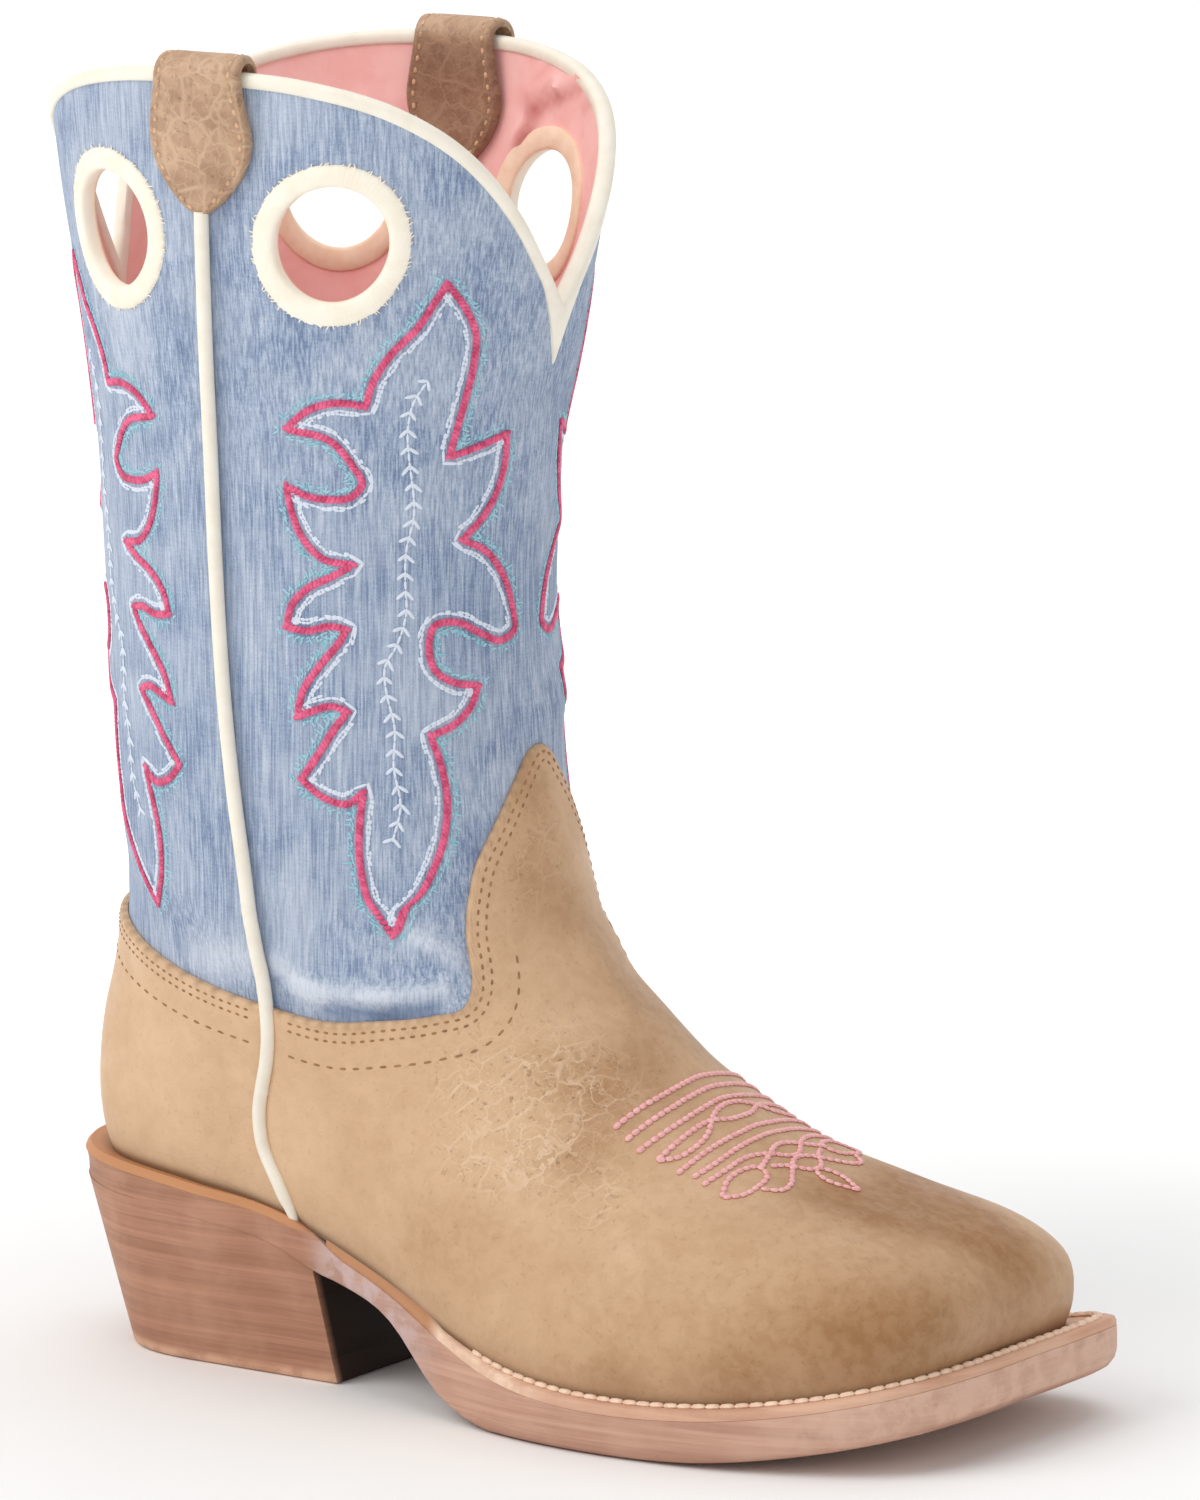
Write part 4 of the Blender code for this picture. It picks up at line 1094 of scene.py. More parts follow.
# Where the finish has cracked pale
CRACKLE = [
    ((109, -29, 68), 9.0, 0.9), ((120, -28, 63), 10.0, 1.0), ((114, -33, 55), 9.0, 0.9),
    ((126, -30, 56), 9.0, 1.0), ((123, -19, 72), 8.0, 0.8), ((133, -17, 65), 8.0, 0.7),
    ((141, -31, 48), 8.0, 0.7), ((106, -10, 105), 8.0, 0.4), ((107, -2, 112), 8.0, 0.4),
    ((118, 26, 66), 14.0, 0.8), ((140, 22, 58), 12.0, 0.6),
]


def spread(points, places):
    """Sum of soft round patches at points."""
    total = np.zeros(points.shape[:-1])
    for place, width, amount in places:
        total += amount * fade(np.linalg.norm(points - np.array(place), axis=-1), width)
    return np.clip(total, 0, 1)


def make_overlay(name, node, middle, columns, rows, thick):
    """Leather overlay from the welt to its top edge between the side seams, with a rounded cut edge."""
    across = np.linspace(-1, 1, columns)
    nominal = middle + across * (QUARTER - seam_angle(1.0))
    top = overlay_level(nominal)
    shares = np.concatenate([np.linspace(0, 0.985, rows) ** 1.15, CUT_EDGE[:, 0]])
    levels = rows_by_length(nominal, 0.0, top, shares)
    angle = middle + across * (QUARTER - seam_angle(levels) * SEAM_SHARE)
    points = surface(angle, levels)
    from_top = np.concatenate([np.zeros(rows), CUT_EDGE[:, 1]])[:, None]
    from_side = np.interp(np.abs(across), 1 - SIDE_EDGE[:, 0] / columns, SIDE_EDGE[:, 1])[None]
    lift = GAP + thick + relief(points, LEATHER_FOLDS)
    lift = lift - np.maximum(from_top, from_side) * (thick - CUT_EDGE_LEFT)
    outer = offset_surface(angle, levels, lift)
    inner = offset_surface(angle, levels, GAP * 0.5)
    for face in (outer, inner):
        face[0, :, 2] = sole_heights(face[0, :, 0])[0] - OVERLAY_SINK
    edge = surface(nominal, top)
    to_top = np.min(np.linalg.norm(points[:, :, None] - edge[None, None, ::3], axis=-1), axis=-1)
    to_sole = points[..., 2] - sole_heights(points[..., 0])[0]
    # a burnished band along the sole with a thin painted shadow at its junction, and a dark line along the
    # top edge
    burnish = 0.20 * fade(to_sole, 6.0) + 0.80 * fade(to_sole, 1.6) + 0.40 * fade(to_top, 0.9)
    along = points[..., 0]
    # the leather grows darker towards the toe
    patch = spread(points, PATCHES) + 0.18 * soft_step(along, 62, 100) + 0.20 * soft_step(along, 112, 185)
    masks = both_faces(patch=np.clip(patch, 0, 1), crackle=spread(points, CRACKLE),
                       burnish=np.clip(burnish, 0, 0.85))
    add_piece(name, shell(outer, inner, False), ["tan"], [node], masks)


# Piping

BINDING_STEEPEST = 3.4  # most that the binding widens on a steep edge
POINT_TURN = 14.0  # degrees from the front notch over which its point narrows
CORD_TOP, CORD_SIDES = 27.0, 14  # drop of the cord's end below the collar, sides round it
CORD_FOOT, CORD_ROWS = 0.1, (12, 128)  # level where its foot ends, rows of the foot and above it
CORD_STAND = 0.9  # distance of its middle from the face, in radii
CORD_TUCK = 0.4  # way of its foot inward
CORD_DIP, CORD_DIP_END = 1.3, 0.06  # way of its foot down, level where that ends
CORD_THIN, CORD_THIN_END = 0.6, 0.08  # girth of its foot as a share, level where it is full

# Binding's section, outer side first: drop as a share of the leg, distance from the outer face, lift over
# the edge
BINDING_FORM = [
    (1.0, -0.05, 0), (0.95, 0.45, 0), (0.7, 0.72, 0), (0.3, 0.8, 0), (0.0, 0.75, 0.25), (0, 0.3, 0.75),
    (0, -0.6, 1.0), (0, -1.4, 1.0), (0, -2.3, 0.75), (0.0, -2.75, 0.25), (0.3, -2.8, 0), (0.7, -2.72, 0),
    (0.95, -2.45, 0), (1.0, -1.95, 0),
]


def make_binding(sizes):
    """Cream binding folded over the collar's edge, pointed at the front notch."""
    angle = ring_columns(*BINDING_COLUMNS)
    top = collar_level(angle)
    edge = surface(angle, top)
    run = np.roll(edge, -1, axis=0) - edge
    slant = np.linalg.norm(run, axis=1) / np.linalg.norm(run[:, :2], axis=1)
    steep = np.minimum(np.maximum(slant, np.roll(slant, 1)), BINDING_STEEPEST)
    leg = sizes.binding_leg / MM
    point = sizes.binding_point / MM * np.clip(1 - turn_from_toe(angle) / POINT_TURN, 0, 1) ** 2
    outer_leg = np.maximum(leg * steep, leg + point)
    inner_leg = leg * steep
    sections = []
    for share, distance, lift in BINDING_FORM:
        drop = level_drop(share * (outer_leg if distance > -1 else inner_leg))
        ring = offset_surface(angle, top - drop, distance)
        ring[:, 2] += lift * steep
        sections.append(ring)
    add_piece("collar_binding", sweep(np.stack(sections, axis=1), True), ["cream"],
              ["collar_piping"])


def make_cord(side, sizes):
    """Piping cord on a side seam, from the strap's tip to the groove over the sole."""
    radius = sizes.cord_radius / MM
    top = collar_level(side * QUARTER) - level_drop(CORD_TOP)
    foot = np.linspace(0.0, CORD_FOOT, CORD_ROWS[0], endpoint=False)
    levels = np.concatenate([foot, np.linspace(CORD_FOOT, top, CORD_ROWS[1])])
    angle = np.full(levels.shape, side * QUARTER)
    tuck = CORD_TUCK * (1 - soft_step(levels, 0, CORD_FOOT))
    middle = offset_surface(angle, levels, CORD_STAND * radius - tuck)
    middle[:, 2] -= CORD_DIP * (1 - soft_step(levels, 0, CORD_DIP_END))
    along, out = unit(np.gradient(middle, axis=0)), outward(angle, levels)
    wide = unit(np.cross(along, out))
    girth = radius * (CORD_THIN + (1 - CORD_THIN) * soft_step(levels, 0, CORD_THIN_END))
    turn = whole_turn(CORD_SIDES)
    round_it = wide[:, None] * np.cos(turn)[None, :, None] + out[:, None] * np.sin(turn)[None, :, None]
    name = SIDE_NAME[side]
    add_piece(f"side_cord_{name}", sweep(middle[:, None] + round_it * girth[:, None, None], False),
              ["cream"], [f"side_piping_{name}"])


# Pull straps: drop below the collar, half breadth as a share of the widest, stand-off from the wall
STRAP = np.array([
    (28.0, 0.05, 0.60),
    (26.5, 0.28, 0.60),
    (23.5, 0.58, 0.60),
    (19.0, 0.86, 0.60),
    (13.5, 1.00, 0.75),
    (7.5,  0.93, 1.45),
    (2.5,  0.84, 1.75),
])
STRAP_HALF, STRAP_FOLD_HALF, STRAP_FOLD_RISE = 12.4, 0.81, 2.2
STRAP_ROWS, STRAP_COLUMNS = 84, 31
STRAP_INSET, STRAP_PITCH = 2.0, 1.25  # edge stitches: distance from the edge, length
STRAP_EDGE, STRAP_FULL = 0.45, 0.9  # thickness at the edge as a share, width over which it fills
GROOVE_WIDTH, GROOVE_DEPTH = 0.7, 0.28  # of the sewn groove
STRAP_TURNED = (0.52, 0.60)  # shares of the rows between which it has turned inside

# Stains of a strap: place, with y outward from the middle, width, amount
STRAP_STAINS = [
    ((52, 45, 262), 5.0, 0.5),
    ((60, 46, 246), 4.0, 0.6),
    ((50, 45, 244), 3.5, 0.6),
    ((62, 46, 258), 4.0, 0.5),
]


def strap_rows():
    """Rows of a strap from tip to tip: drop, place across the wall, half breadth share; finely spaced."""
    drops, halves, stands = STRAP.T
    leg = np.stack([drops, stands, halves], -1)
    reach = WALL / 2 + STRAP[-1, 2]
    turn = np.radians(np.linspace(12, 168, 7))
    fold = np.stack([-STRAP_FOLD_RISE * np.sin(turn) - 0.2, -WALL / 2 + reach * np.cos(turn),
                     np.full(turn.shape, STRAP_FOLD_HALF)], -1)
    other = leg[::-1] * np.array([1, -1, 1]) - np.array([0, WALL, 0])
    rows = np.concatenate([leg, fold, other])
    run = lengths(rows[:, :2])
    return curve_through(np.column_stack([run, rows]), np.linspace(0, run[-1], STRAP_ROWS))


def strap_face(side, rows, across, lift):
    """Points of a strap at rows and places across it, lifted off its back, and their normals."""
    seam = side * QUARTER
    top = collar_level(seam)
    angle = seam + across * rows[:, 2:3] * STRAP_HALF * angle_per_mm(seam, top)
    level = np.broadcast_to((top - level_drop(np.maximum(rows[:, 0], 0)))[:, None], angle.shape)
    back = offset_surface(angle, level, np.broadcast_to(rows[:, 1][:, None], angle.shape))
    back[..., 2] += np.maximum(-rows[:, 0], 0)[:, None]
    face = unit(np.cross(np.gradient(back, axis=0), np.gradient(back, axis=1)))
    face *= np.sign(face[len(rows) // 2, face.shape[1] // 2, 2])
    return back + face * np.asarray(lift)[..., None], face


def strap_stitches(side, rows, lift):
    """Rows of stitches inside both edges of a strap."""
    shapes = []
    for hand in (-1, 1):
        inset = hand * (1 - STRAP_INSET / np.maximum(rows[:, 2] * STRAP_HALF, 2.4))
        places = np.stack([inset - 0.01, inset, inset + 0.01], 1)
        line, face = strap_face(side, rows, places, lift)
        line = np.concatenate([line[:, 1], face[:, 1]], axis=1)[rows[:, 2] > 0.2]
        shapes.append(broken_row(by_length(line, STRAP_PITCH), "strap"))
    return joined(shapes)


def make_strap(side, sizes):
    """Leather pull strap folded over the collar, puffed inside its edge stitching."""
    rows, thick = strap_rows(), sizes.strap_thick / MM
    across = np.linspace(-1, 1, STRAP_COLUMNS)[None, :]
    edge = (1 - np.abs(across)) * rows[:, 2:3] * STRAP_HALF
    groove = fade(edge - STRAP_INSET, GROOVE_WIDTH)
    full = STRAP_EDGE + (1 - STRAP_EDGE) * soft_step(edge, 0, STRAP_FULL)
    lift = thick * full - GROOVE_DEPTH * groove
    back, _ = strap_face(side, rows, across, 0.02)
    front, _ = strap_face(side, rows, across, lift)
    name, count = SIDE_NAME[side], len(rows)
    turned = soft_step(np.arange(count), *(count * share for share in STRAP_TURNED))
    inside = turned[:, None] * np.ones(across.shape)
    stains = [((x, side * y, z), width, amount) for (x, y, z), width, amount in STRAP_STAINS]
    # burnished edges, and painted shade in the sewn groove
    masks = both_faces(patch=np.clip(0.10 + spread(front, stains) + 0.70 * inside, 0, 1),
                       burnish=0.35 * fade(edge, 0.6) + 0.22 * groove,
                       crackle=0.9 - 0.5 * inside)
    add_piece(f"strap_{name}", shell(front, back, False), ["strap"],
              [f"pull_strap_{name}"], masks)
    add_piece(f"strap_stitches_{name}", strap_stitches(side, rows, thick * 0.82), ["strap_thread"])


# Rings round the pull holes and their facings on the lining: radius beyond the hole, distance from the
# outer face
RING_FORM = [(4.4, -0.05), (4.25, 0.38), (3.6, 0.66), (2.4, 0.84), (1.2, 0.80), (0.45, 0.62), (0.05, 0.3),
             (-0.1, -0.3), (-0.1, -1.2), (0.0, -2.0), (0.6, -2.0), (2.5, -0.9), (4.0, -0.4)]
FACING_FORM = [(4.7, -1.9), (4.65, -2.4), (4.2, -2.7), (2.4, -2.9), (0.7, -2.8), (0.05, -2.5), (-0.1, -2.1),
               (0.1, -1.7)]
FACING_COLUMNS, THREAD_ENDS = 120, 84


def make_ring(side, end, sizes, draw):
    """Satin-stitched ring round a pull hole and the leather facing behind it; gives its loose thread ends."""
    angle, level = hole_place(side, end)
    angle_step = angle_per_mm(angle, level)

    def at(turn, radius, distance):
        return offset_surface(angle + radius * np.cos(turn) * angle_step,
                              level + level_drop(radius * np.sin(turn)), distance)

    threads = sizes.ring_threads
    turn = whole_turn(threads * 4)
    ridge = 0.5 + 0.5 * np.cos(turn * threads)
    loose = np.repeat(draw.uniform(-0.12, 0.12, threads), 4)
    name = f"{SIDE_NAME[side]}_{END_NAME[end]}"
    sections = []
    for beyond, distance in RING_FORM:
        swell = np.where(distance > 0, 0.06 * ridge, 0)
        reach = HOLE_RADIUS + beyond + np.where(beyond > 4.1, loose, 0)
        sections.append(at(turn, reach, distance + swell))
    add_piece(f"ring_{name}", sweep(np.stack(sections, axis=1), True), ["ring"],
              [f"hole_ring_{name}"])
    turn = whole_turn(FACING_COLUMNS)
    sections = [at(turn, HOLE_RADIUS + beyond, distance) for beyond, distance in FACING_FORM]
    add_piece(f"hole_facing_{name}", sweep(np.stack(sections, axis=1), True), ["facing"])
    count = THREAD_ENDS
    ends = whole_turn(count) + draw.uniform(-0.03, 0.03, count)
    tips = HOLE_RADIUS + 4.4 + draw.uniform(0.0, 0.9, count)
    skew = draw.uniform(-0.06, 0.06, count)
    starts, stops = at(ends, HOLE_RADIUS + 3.9, 0.4), at(ends + skew, tips, 0.10)
    normals = outward(np.full(count, angle), np.full(count, level))
    return stitch_shape(starts, stops, normals, "loose")


# Embroidery

# Flame outline on a shaft panel: distance from the side seam, height, 1 at a sharp point
FLAME = np.array([
    (50.0, 226.0, 1), (53.5, 221.0, 0), (55.5, 216.0, 0), (55.0, 210.0, 0), (53.0, 203.0, 0),
    (51.0, 197.0, 0), (49.0, 191.0, 1), (54.5, 192.5, 0), (62.0, 195.0, 1), (61.0, 188.0, 0),
    (58.5, 182.0, 0), (55.0, 177.5, 0), (51.0, 174.0, 1), (56.0, 171.5, 0), (60.0, 166.5, 0),
    (62.5, 159.0, 0), (62.8, 155.0, 0), (59.0, 153.0, 0), (54.0, 155.0, 0), (49.0, 157.5, 0),
    (44.5, 157.0, 0), (43.0, 152.0, 0), (44.0, 148.0, 0), (47.5, 145.5, 0), (53.0, 144.5, 1),
    (51.0, 140.5, 0), (47.0, 137.0, 0), (42.0, 135.0, 1), (43.5, 129.0, 0), (44.0, 122.5, 0),
    (42.5, 115.0, 0), (39.5, 108.5, 0), (35.0, 101.0, 0), (30.5, 95.5, 1), (26.0, 102.0, 0),
    (25.0, 110.0, 0), (26.5, 120.0, 0), (27.5, 124.0, 1), (24.0, 121.5, 0), (19.5, 122.5, 0),
    (15.0, 126.0, 1), (19.0, 131.0, 0), (23.0, 136.5, 0), (26.0, 140.0, 1), (23.0, 141.0, 0),
    (19.0, 140.0, 0), (15.5, 138.5, 1), (17.0, 143.5, 0), (21.0, 149.0, 0), (25.0, 153.5, 0),
    (27.0, 156.5, 1), (23.5, 157.0, 0), (19.0, 156.0, 0), (14.5, 156.5, 1), (16.0, 161.0, 0),
    (19.5, 164.5, 0), (24.5, 167.0, 0), (29.0, 169.5, 1), (23.0, 170.5, 0), (19.0, 174.5, 0),
    (17.0, 179.5, 0), (16.0, 185.0, 1), (20.5, 183.0, 0), (25.0, 182.5, 0), (29.0, 183.0, 0),
    (31.5, 186.0, 0), (30.0, 189.0, 0), (26.0, 194.0, 0), (16.5, 196.5, 1), (21.5, 200.5, 0),
    (26.5, 202.0, 0), (33.0, 201.5, 1), (34.0, 205.0, 0), (38.0, 211.5, 0), (44.0, 217.5, 0),
    (47.5, 222.5, 0), (50.0, 226.0, 1),
])

SATIN_LEAN = 0.62  # lean of the satin stitches, in steps
AQUA_PITCH, AQUA_ROWS = 0.95, ((0.65, 1), (1.1, 2))  # distance outside the flame, every so many
AQUA_WAY = (0.9, 0.3)  # way of a stitch along the flame and outward
TICK_PITCH, TICK_SHARE = 1.2, 0.75
TICK_START, TICK_REACH = 0.8, (0.4, 1.7)  # distance outside the flame, shortest and longest tick
PALE_PITCH, PALE_ROWS = 1.1, ((0.95, 1.0), (1.4, 0.75))  # distance inside the flame, share kept

LEAF_ROOT, LEAF_SIDE, LEAF_DROP = 0.7, 1.7, 0.9  # vine's side stitches
STRAY = {"aqua": 0.3, "tick": 0.6, "pale": 0.2, "leaf": 0.3}  # most that a stitch strays

# Vine up the middle of the flame
VINE = np.array([
    (45.0, 206.0), (42.5, 202.5), (41.0, 197.0), (41.0, 190.0), (41.5, 183.5), (41.5, 180.0), (39.5, 172.0),
    (39.0, 164.5), (39.0, 160.5), (36.5, 153.0), (34.0, 149.0), (34.0, 143.5), (35.0, 137.0), (34.0, 129.0),
    (34.5, 121.0), (32.0, 114.0),
])


def smooth_line(chart, step):
    """Even points along a chart, smooth between its sharp points."""
    corners = [0, len(chart) - 1] if chart.shape[1] < 3 else np.flatnonzero(chart[:, 2]).tolist()
    line = []
    for first, last in zip(corners[:-1], corners[1:]):
        some = chart[first:last + 1, :2]
        run = lengths(some)
        fine = curve_through(np.column_stack([run, some]), np.linspace(0, run[-1], 12 * len(some)))
        line.append(by_length(fine, step)[:-1])
    return np.concatenate(line + [chart[-1:, :2]])


def on_panel(side, end, flat):
    """Angle and level of panel points: distance from the side seam and height."""
    level = 1 + level_drop(flat[:, 1] - INSTEP_HEIGHT)
    turns = side * (QUARTER - end * np.linspace(0, QUARTER, 46))
    for _ in range(3):
        ring = surface(turns[None, :], level[:, None])
        run = np.cumsum(np.linalg.norm(np.diff(ring, axis=1), axis=-1), axis=1)
        run = np.concatenate([np.zeros((len(run), 1)), run], axis=1)
        angle = np.array([np.interp(flat[i, 0], run[i], turns) for i in range(len(flat))])
        level = level + level_drop(flat[:, 1] - surface(angle, level)[:, 2])
    return angle, level


def panel_stitches(side, end, starts, stops, thread):
    """Stitches between panel points, lying on the denim."""
    count = len(starts)
    angle, level = on_panel(side, end, np.concatenate([starts, stops]))
    points = over_folds(angle, level, DENIM_FOLDS)
    normals = outward((angle[:count] + angle[count:]) / 2, (level[:count] + level[count:]) / 2)
    return stitch_shape(points[:count], points[count:], normals, thread)


def sideways(line):
    """Unit normals of a flat line, to the left of its way."""
    step = unit(np.gradient(line, axis=0))
    return np.stack([-step[:, 1], step[:, 0]], -1)


def make_flame(side, end, sizes, draw):
    """Pink satin flame with a ragged aqua line outside, a pale one inside and a feather-stitched vine."""
    shapes = {"pink": [], "aqua": [], "white": []}

    def sew(colour, thread, starts, stops):
        shapes[colour].append(panel_stitches(side, end, starts, stops, thread))

    def stray(thread, line):
        return draw.uniform(-STRAY[thread], STRAY[thread], line.shape)

    pitch, half = sizes.flame_pitch / MM, sizes.flame_width / MM / 2
    line = smooth_line(FLAME, pitch)
    out, lean = sideways(line), unit(np.gradient(line, axis=0)) * pitch * SATIN_LEAN
    sew("pink", "flame", line - out * half - lean, line + out * half + lean)
    base = smooth_line(FLAME, AQUA_PITCH)
    push, along = sideways(base), unit(np.gradient(base, axis=0))
    for away, every in AQUA_ROWS:
        start = base + push * (half + away) + stray("aqua", base)
        stop = start + along * AQUA_WAY[0] + push * AQUA_WAY[1]
        sew("aqua", "aqua", start[::every], stop[::every])
    base = smooth_line(FLAME, TICK_PITCH)
    push = sideways(base)
    start = base + push * (half + TICK_START)
    tips = start + push * draw.uniform(*TICK_REACH, (len(base), 1)) + stray("tick", base)
    keep = draw.uniform(0, 1, len(base)) < TICK_SHARE
    sew("aqua", "tick", start[keep], tips[keep])
    for inset, share in PALE_ROWS:
        inner = smooth_line(FLAME, PALE_PITCH)
        inner = inner - sideways(inner) * (half + inset) + stray("pale", inner)
        keep = draw.uniform(0, 1, len(inner) - 1) < share
        sew("white", "pale", inner[:-1][keep], inner[1:][keep])
    stem = smooth_line(VINE, sizes.vine_pitch / MM / 2)
    sew("white", "stem", stem[:-1], stem[1:])
    knots = smooth_line(VINE, sizes.vine_pitch / MM)
    push, rise = sideways(knots), -unit(np.gradient(knots, axis=0))
    for hand in (-1, 1):
        tips = knots + push * hand * LEAF_SIDE - rise * LEAF_DROP + stray("leaf", knots)
        sew("white", "leaf", knots + rise * LEAF_ROOT, tips)
    return shapes


# Toe stitching, one half: x and distance across from the middle line of each row
TOE_ROWS = {
    "first_row": [(137.0, 23.0), (138.5, 18.0), (140.2, 11.0), (140.7, 4.0), (140.6, 0.0)],
    "second_row": [(140.0, 23.5), (141.5, 18.5), (142.8, 12.0), (143.3, 5.0), (143.2, 0.0)],
    "third_row": [(143.0, 24.0), (144.5, 19.5), (145.6, 14.5), (146.2, 7.5), (146.0, 0.0)],
    "upper_loop": [(147.0, 23.3), (147.6, 20.0), (148.2, 15.0), (149.0, 8.0), (150.6, 3.5), (150.8, 0.0)],
    "upper_loop_back": [(147.0, 23.3), (149.8, 20.5), (151.0, 16.0), (150.6, 11.5), (149.0, 8.0),
                        (147.6, 3.5), (147.3, 0.0)],
    "fourth_row": [(151.6, 23.5), (152.6, 18.5), (153.4, 11.5), (153.8, 4.0), (153.6, 0.0)],
    "fifth_row": [(154.5, 22.5), (155.8, 17.5), (156.2, 10.5), (156.3, 3.5), (156.2, 0.0)],
    "lower_loop": [(157.0, 23.0), (158.2, 17.5), (158.8, 10.5), (160.5, 5.5), (162.6, 2.0), (163.0, 0.0)],
    "eye": [(162.0, 23.8), (160.2, 20.0), (160.4, 14.5), (162.2, 11.0), (164.2, 12.0), (165.2, 16.5),
            (164.4, 21.5), (162.0, 23.8)],
    "eye_tail": [(162.2, 11.0), (160.6, 5.5), (159.4, 2.0), (159.2, 0.0)],
    "cross": [(166.0, 17.0), (169.0, 14.5), (169.0, 11.5), (166.6, 7.0), (164.0, 2.5), (163.4, 0.0)],
    "cross_back": [(163.0, 9.0), (164.6, 5.5), (167.4, 2.2), (168.0, 0.0)],
    "leaf": [(167.4, 0.0), (169.6, 2.2), (172.2, 2.6), (174.8, 1.4), (177.4, 0.0)],
}


def vamp_stitches(line, lift):
    """Stitches along a line of x and distance across, lying on the vamp."""
    angle, level = on_vamp(line[:, 0], line[:, 1])
    points, normals = over_folds(angle, level, LEATHER_FOLDS, lift), outward(angle, level)
    return stitch_shape(points[:-1], points[1:], (normals[:-1] + normals[1:]) / 2, "toe")


def make_toe_stitching(sizes):
    """Rose stitched toe pattern, the same on both sides of the middle line."""
    shapes = []
    for rows in TOE_ROWS.values():
        line = smooth_line(np.array(rows), sizes.toe_pitch / MM)
        for hand in (-1, 1):
            shapes.append(vamp_stitches(line * np.array([1, hand]), GAP + sizes.leather_thick / MM))
    add_piece("toe_stitching", joined(shapes), ["rose"])


# Edge stitching

SEAM_CLEAR = 1 - 0.075 / 1.57  # share of a quarter turn that the rows cover

# Rows of edge stitches: their angles, distances from the edge
EDGE_SPANS = {
    "vamp": (np.radians(np.linspace(-90, 90, 400)) * SEAM_CLEAR, (1.5, 3.2)),
    "vamp_outer": (np.radians(np.linspace(-85.5, -38, 160)), (8.6,)),
    "vamp_inner": (np.radians(np.linspace(38, 85.5, 160)), (8.6,)),
    "counter": (np.pi + np.radians(np.linspace(-90, 90, 260)) * SEAM_CLEAR, (1.5, 3.2, 8.6)),
}


def edge_line(angles, inset):
    """Line at a distance inside an overlay's top edge: angle and level."""
    level = overlay_level(angles)
    edge = surface(angles, level)
    along = unit(np.gradient(edge, axis=0))
    inward = np.cross(along, outward(angles, level))
    return slide(angles, level, inward * inset)


def make_edge_stitching(sizes):
    """Brown rows along the top edges of the vamp and counter."""
    shapes = []
    for angles, insets in EDGE_SPANS.values():
        for inset in insets:
            angle, level = edge_line(angles, inset)
            points = over_folds(angle, level, LEATHER_FOLDS, GAP + sizes.leather_thick / MM)
            line = np.concatenate([points, outward(angle, level)], axis=1)
            run = by_length(line, sizes.edge_pitch / MM * (0.5 if inset < 5 else 0.75))
            shapes.append(broken_row(run, "edge", 0.5))
    add_piece("edge_stitching", joined(shapes), ["brown"])


# Sole and heel

# Where a form or a tone of the sole passes into the next, in millimetres from its back: start, end
SOLE_PLACES = {
    "seat_end": (60, 72),
    "rim_end": (60, 74),
    "shank": (66, 78),
    "ball": (105, 125),
    "toe": (165, 205),
    "hollow": (69, 76),
    "hollow_end": (92, 106),
    "waist": (66, 76),
    "waist_end": (92, 108),
    "shade": (60, 70),
    "shade_end": (104, 130),
    "toe_scuff_and_highlight": (170, 206),
    "rand_end": (101, 105),
    "welt_highlight_end": (122, 140),
    "welt_toe": (160, 200),
}
OUTSOLE_COLUMNS, WELT_COLUMNS = 300, 260
UNDERSIDE_ROWS, EDGE_ROW, RIM_ROW, GROOVE_ROW = 2, 3, 7, 11  # rows of the outsole from its underside up
SEAT_TONE_END = 76.0  # behind it the outsole has the heel's finish
LEDGE_GAP, LEDGE_RUN = 0.04, 4.0  # gap under the welt, degrees in which its ledge runs out
SHANK_HOLLOW, RIM_BULGE, TOP_ROUND, SEAT_ROUND = 0.7, 0.8, 0.2, 1.0
SOLE_INSET = 2.6  # of its top's inner line from the feather line

# Round of the outsole's lower edge: at the heel seat, and what each place adds
LOW_ROUND, LOW_ADDED = 0.05, {"shank": 0.9, "ball": 0.9, "toe": 1.5}

RAND_INSET, RAND_RISE = 0.3, 1.9  # of the welt along the waist
WELT_INSET = 1.5  # of its inner side from the feather line
STITCH_SHARE, STITCH_INSET = 0.55, 3.4  # welt's stitches: share of its width from the edge, the most
STITCH_START, STITCH_TURN = 112.0, 60  # where they start along the boot, or degrees from the toe

# Welt's section: inset from the sole's edge, height as a share of the thickness
WELT_FORM = [(0.05, 0.0), (0.05, 0.35), (0.3, 0.75), (0.95, 1.0)]
RAND_SHADE = np.array([0.10, 0.10, 0.25, 0.75, 0.9, 0.9])  # along the waist, over the whole section
HEEL_COLUMNS, BREAST_COLUMNS, HEEL_ROWS = 120, 20, 22
HEEL_TURN = (-80, -280)  # degrees round the back of the outsole that the heel is drawn from
HEEL_BEYOND = 0.08  # of the heel's top past the outsole's edge
HEEL_GAP, LIFT_GAP = 0.02, 0.03  # over the heel and under it
LIFT_RUB = (0.6, 2.8)  # heights between which the last lift's rubbed edge fades

# Last lift: height, inset
LIFT_FORM = np.array([(0.0, 0.5), (0.4, 0.0), (1.4, 0.0), (2.6, 0.0), (4.0, 0.0), (HEEL_CAP, 0.0)])


def sole_edge(angle, inset=0.0):
    """Plan of the outsole's edge, brought in by an inset: x and y."""
    x, y, margin = feather_line(angle)
    ahead_x, ahead_y, _ = feather_line(angle + SMALL)
    behind_x, behind_y, _ = feather_line(angle - SMALL)
    step = unit(np.stack([ahead_x - behind_x, ahead_y - behind_y], -1))
    out = margin - inset
    edge_x = x + step[..., 1] * out
    return edge_x, y - step[..., 0] * out + toe_lean(edge_x)


def feather_inset(angle, inset):
    """Plan of the feather line brought in by an inset."""
    return sole_edge(angle, feather_line(angle)[2] + inset)


def ring_at(plan, heights):
    """Ring of points with the plan and heights given."""
    return np.stack([plan[0], plan[1], np.broadcast_to(heights, plan[0].shape)], -1)


def past(x, place):
    """0 before a place along the sole and 1 beyond it, smooth between."""
    return soft_step(x, *SOLE_PLACES[place])


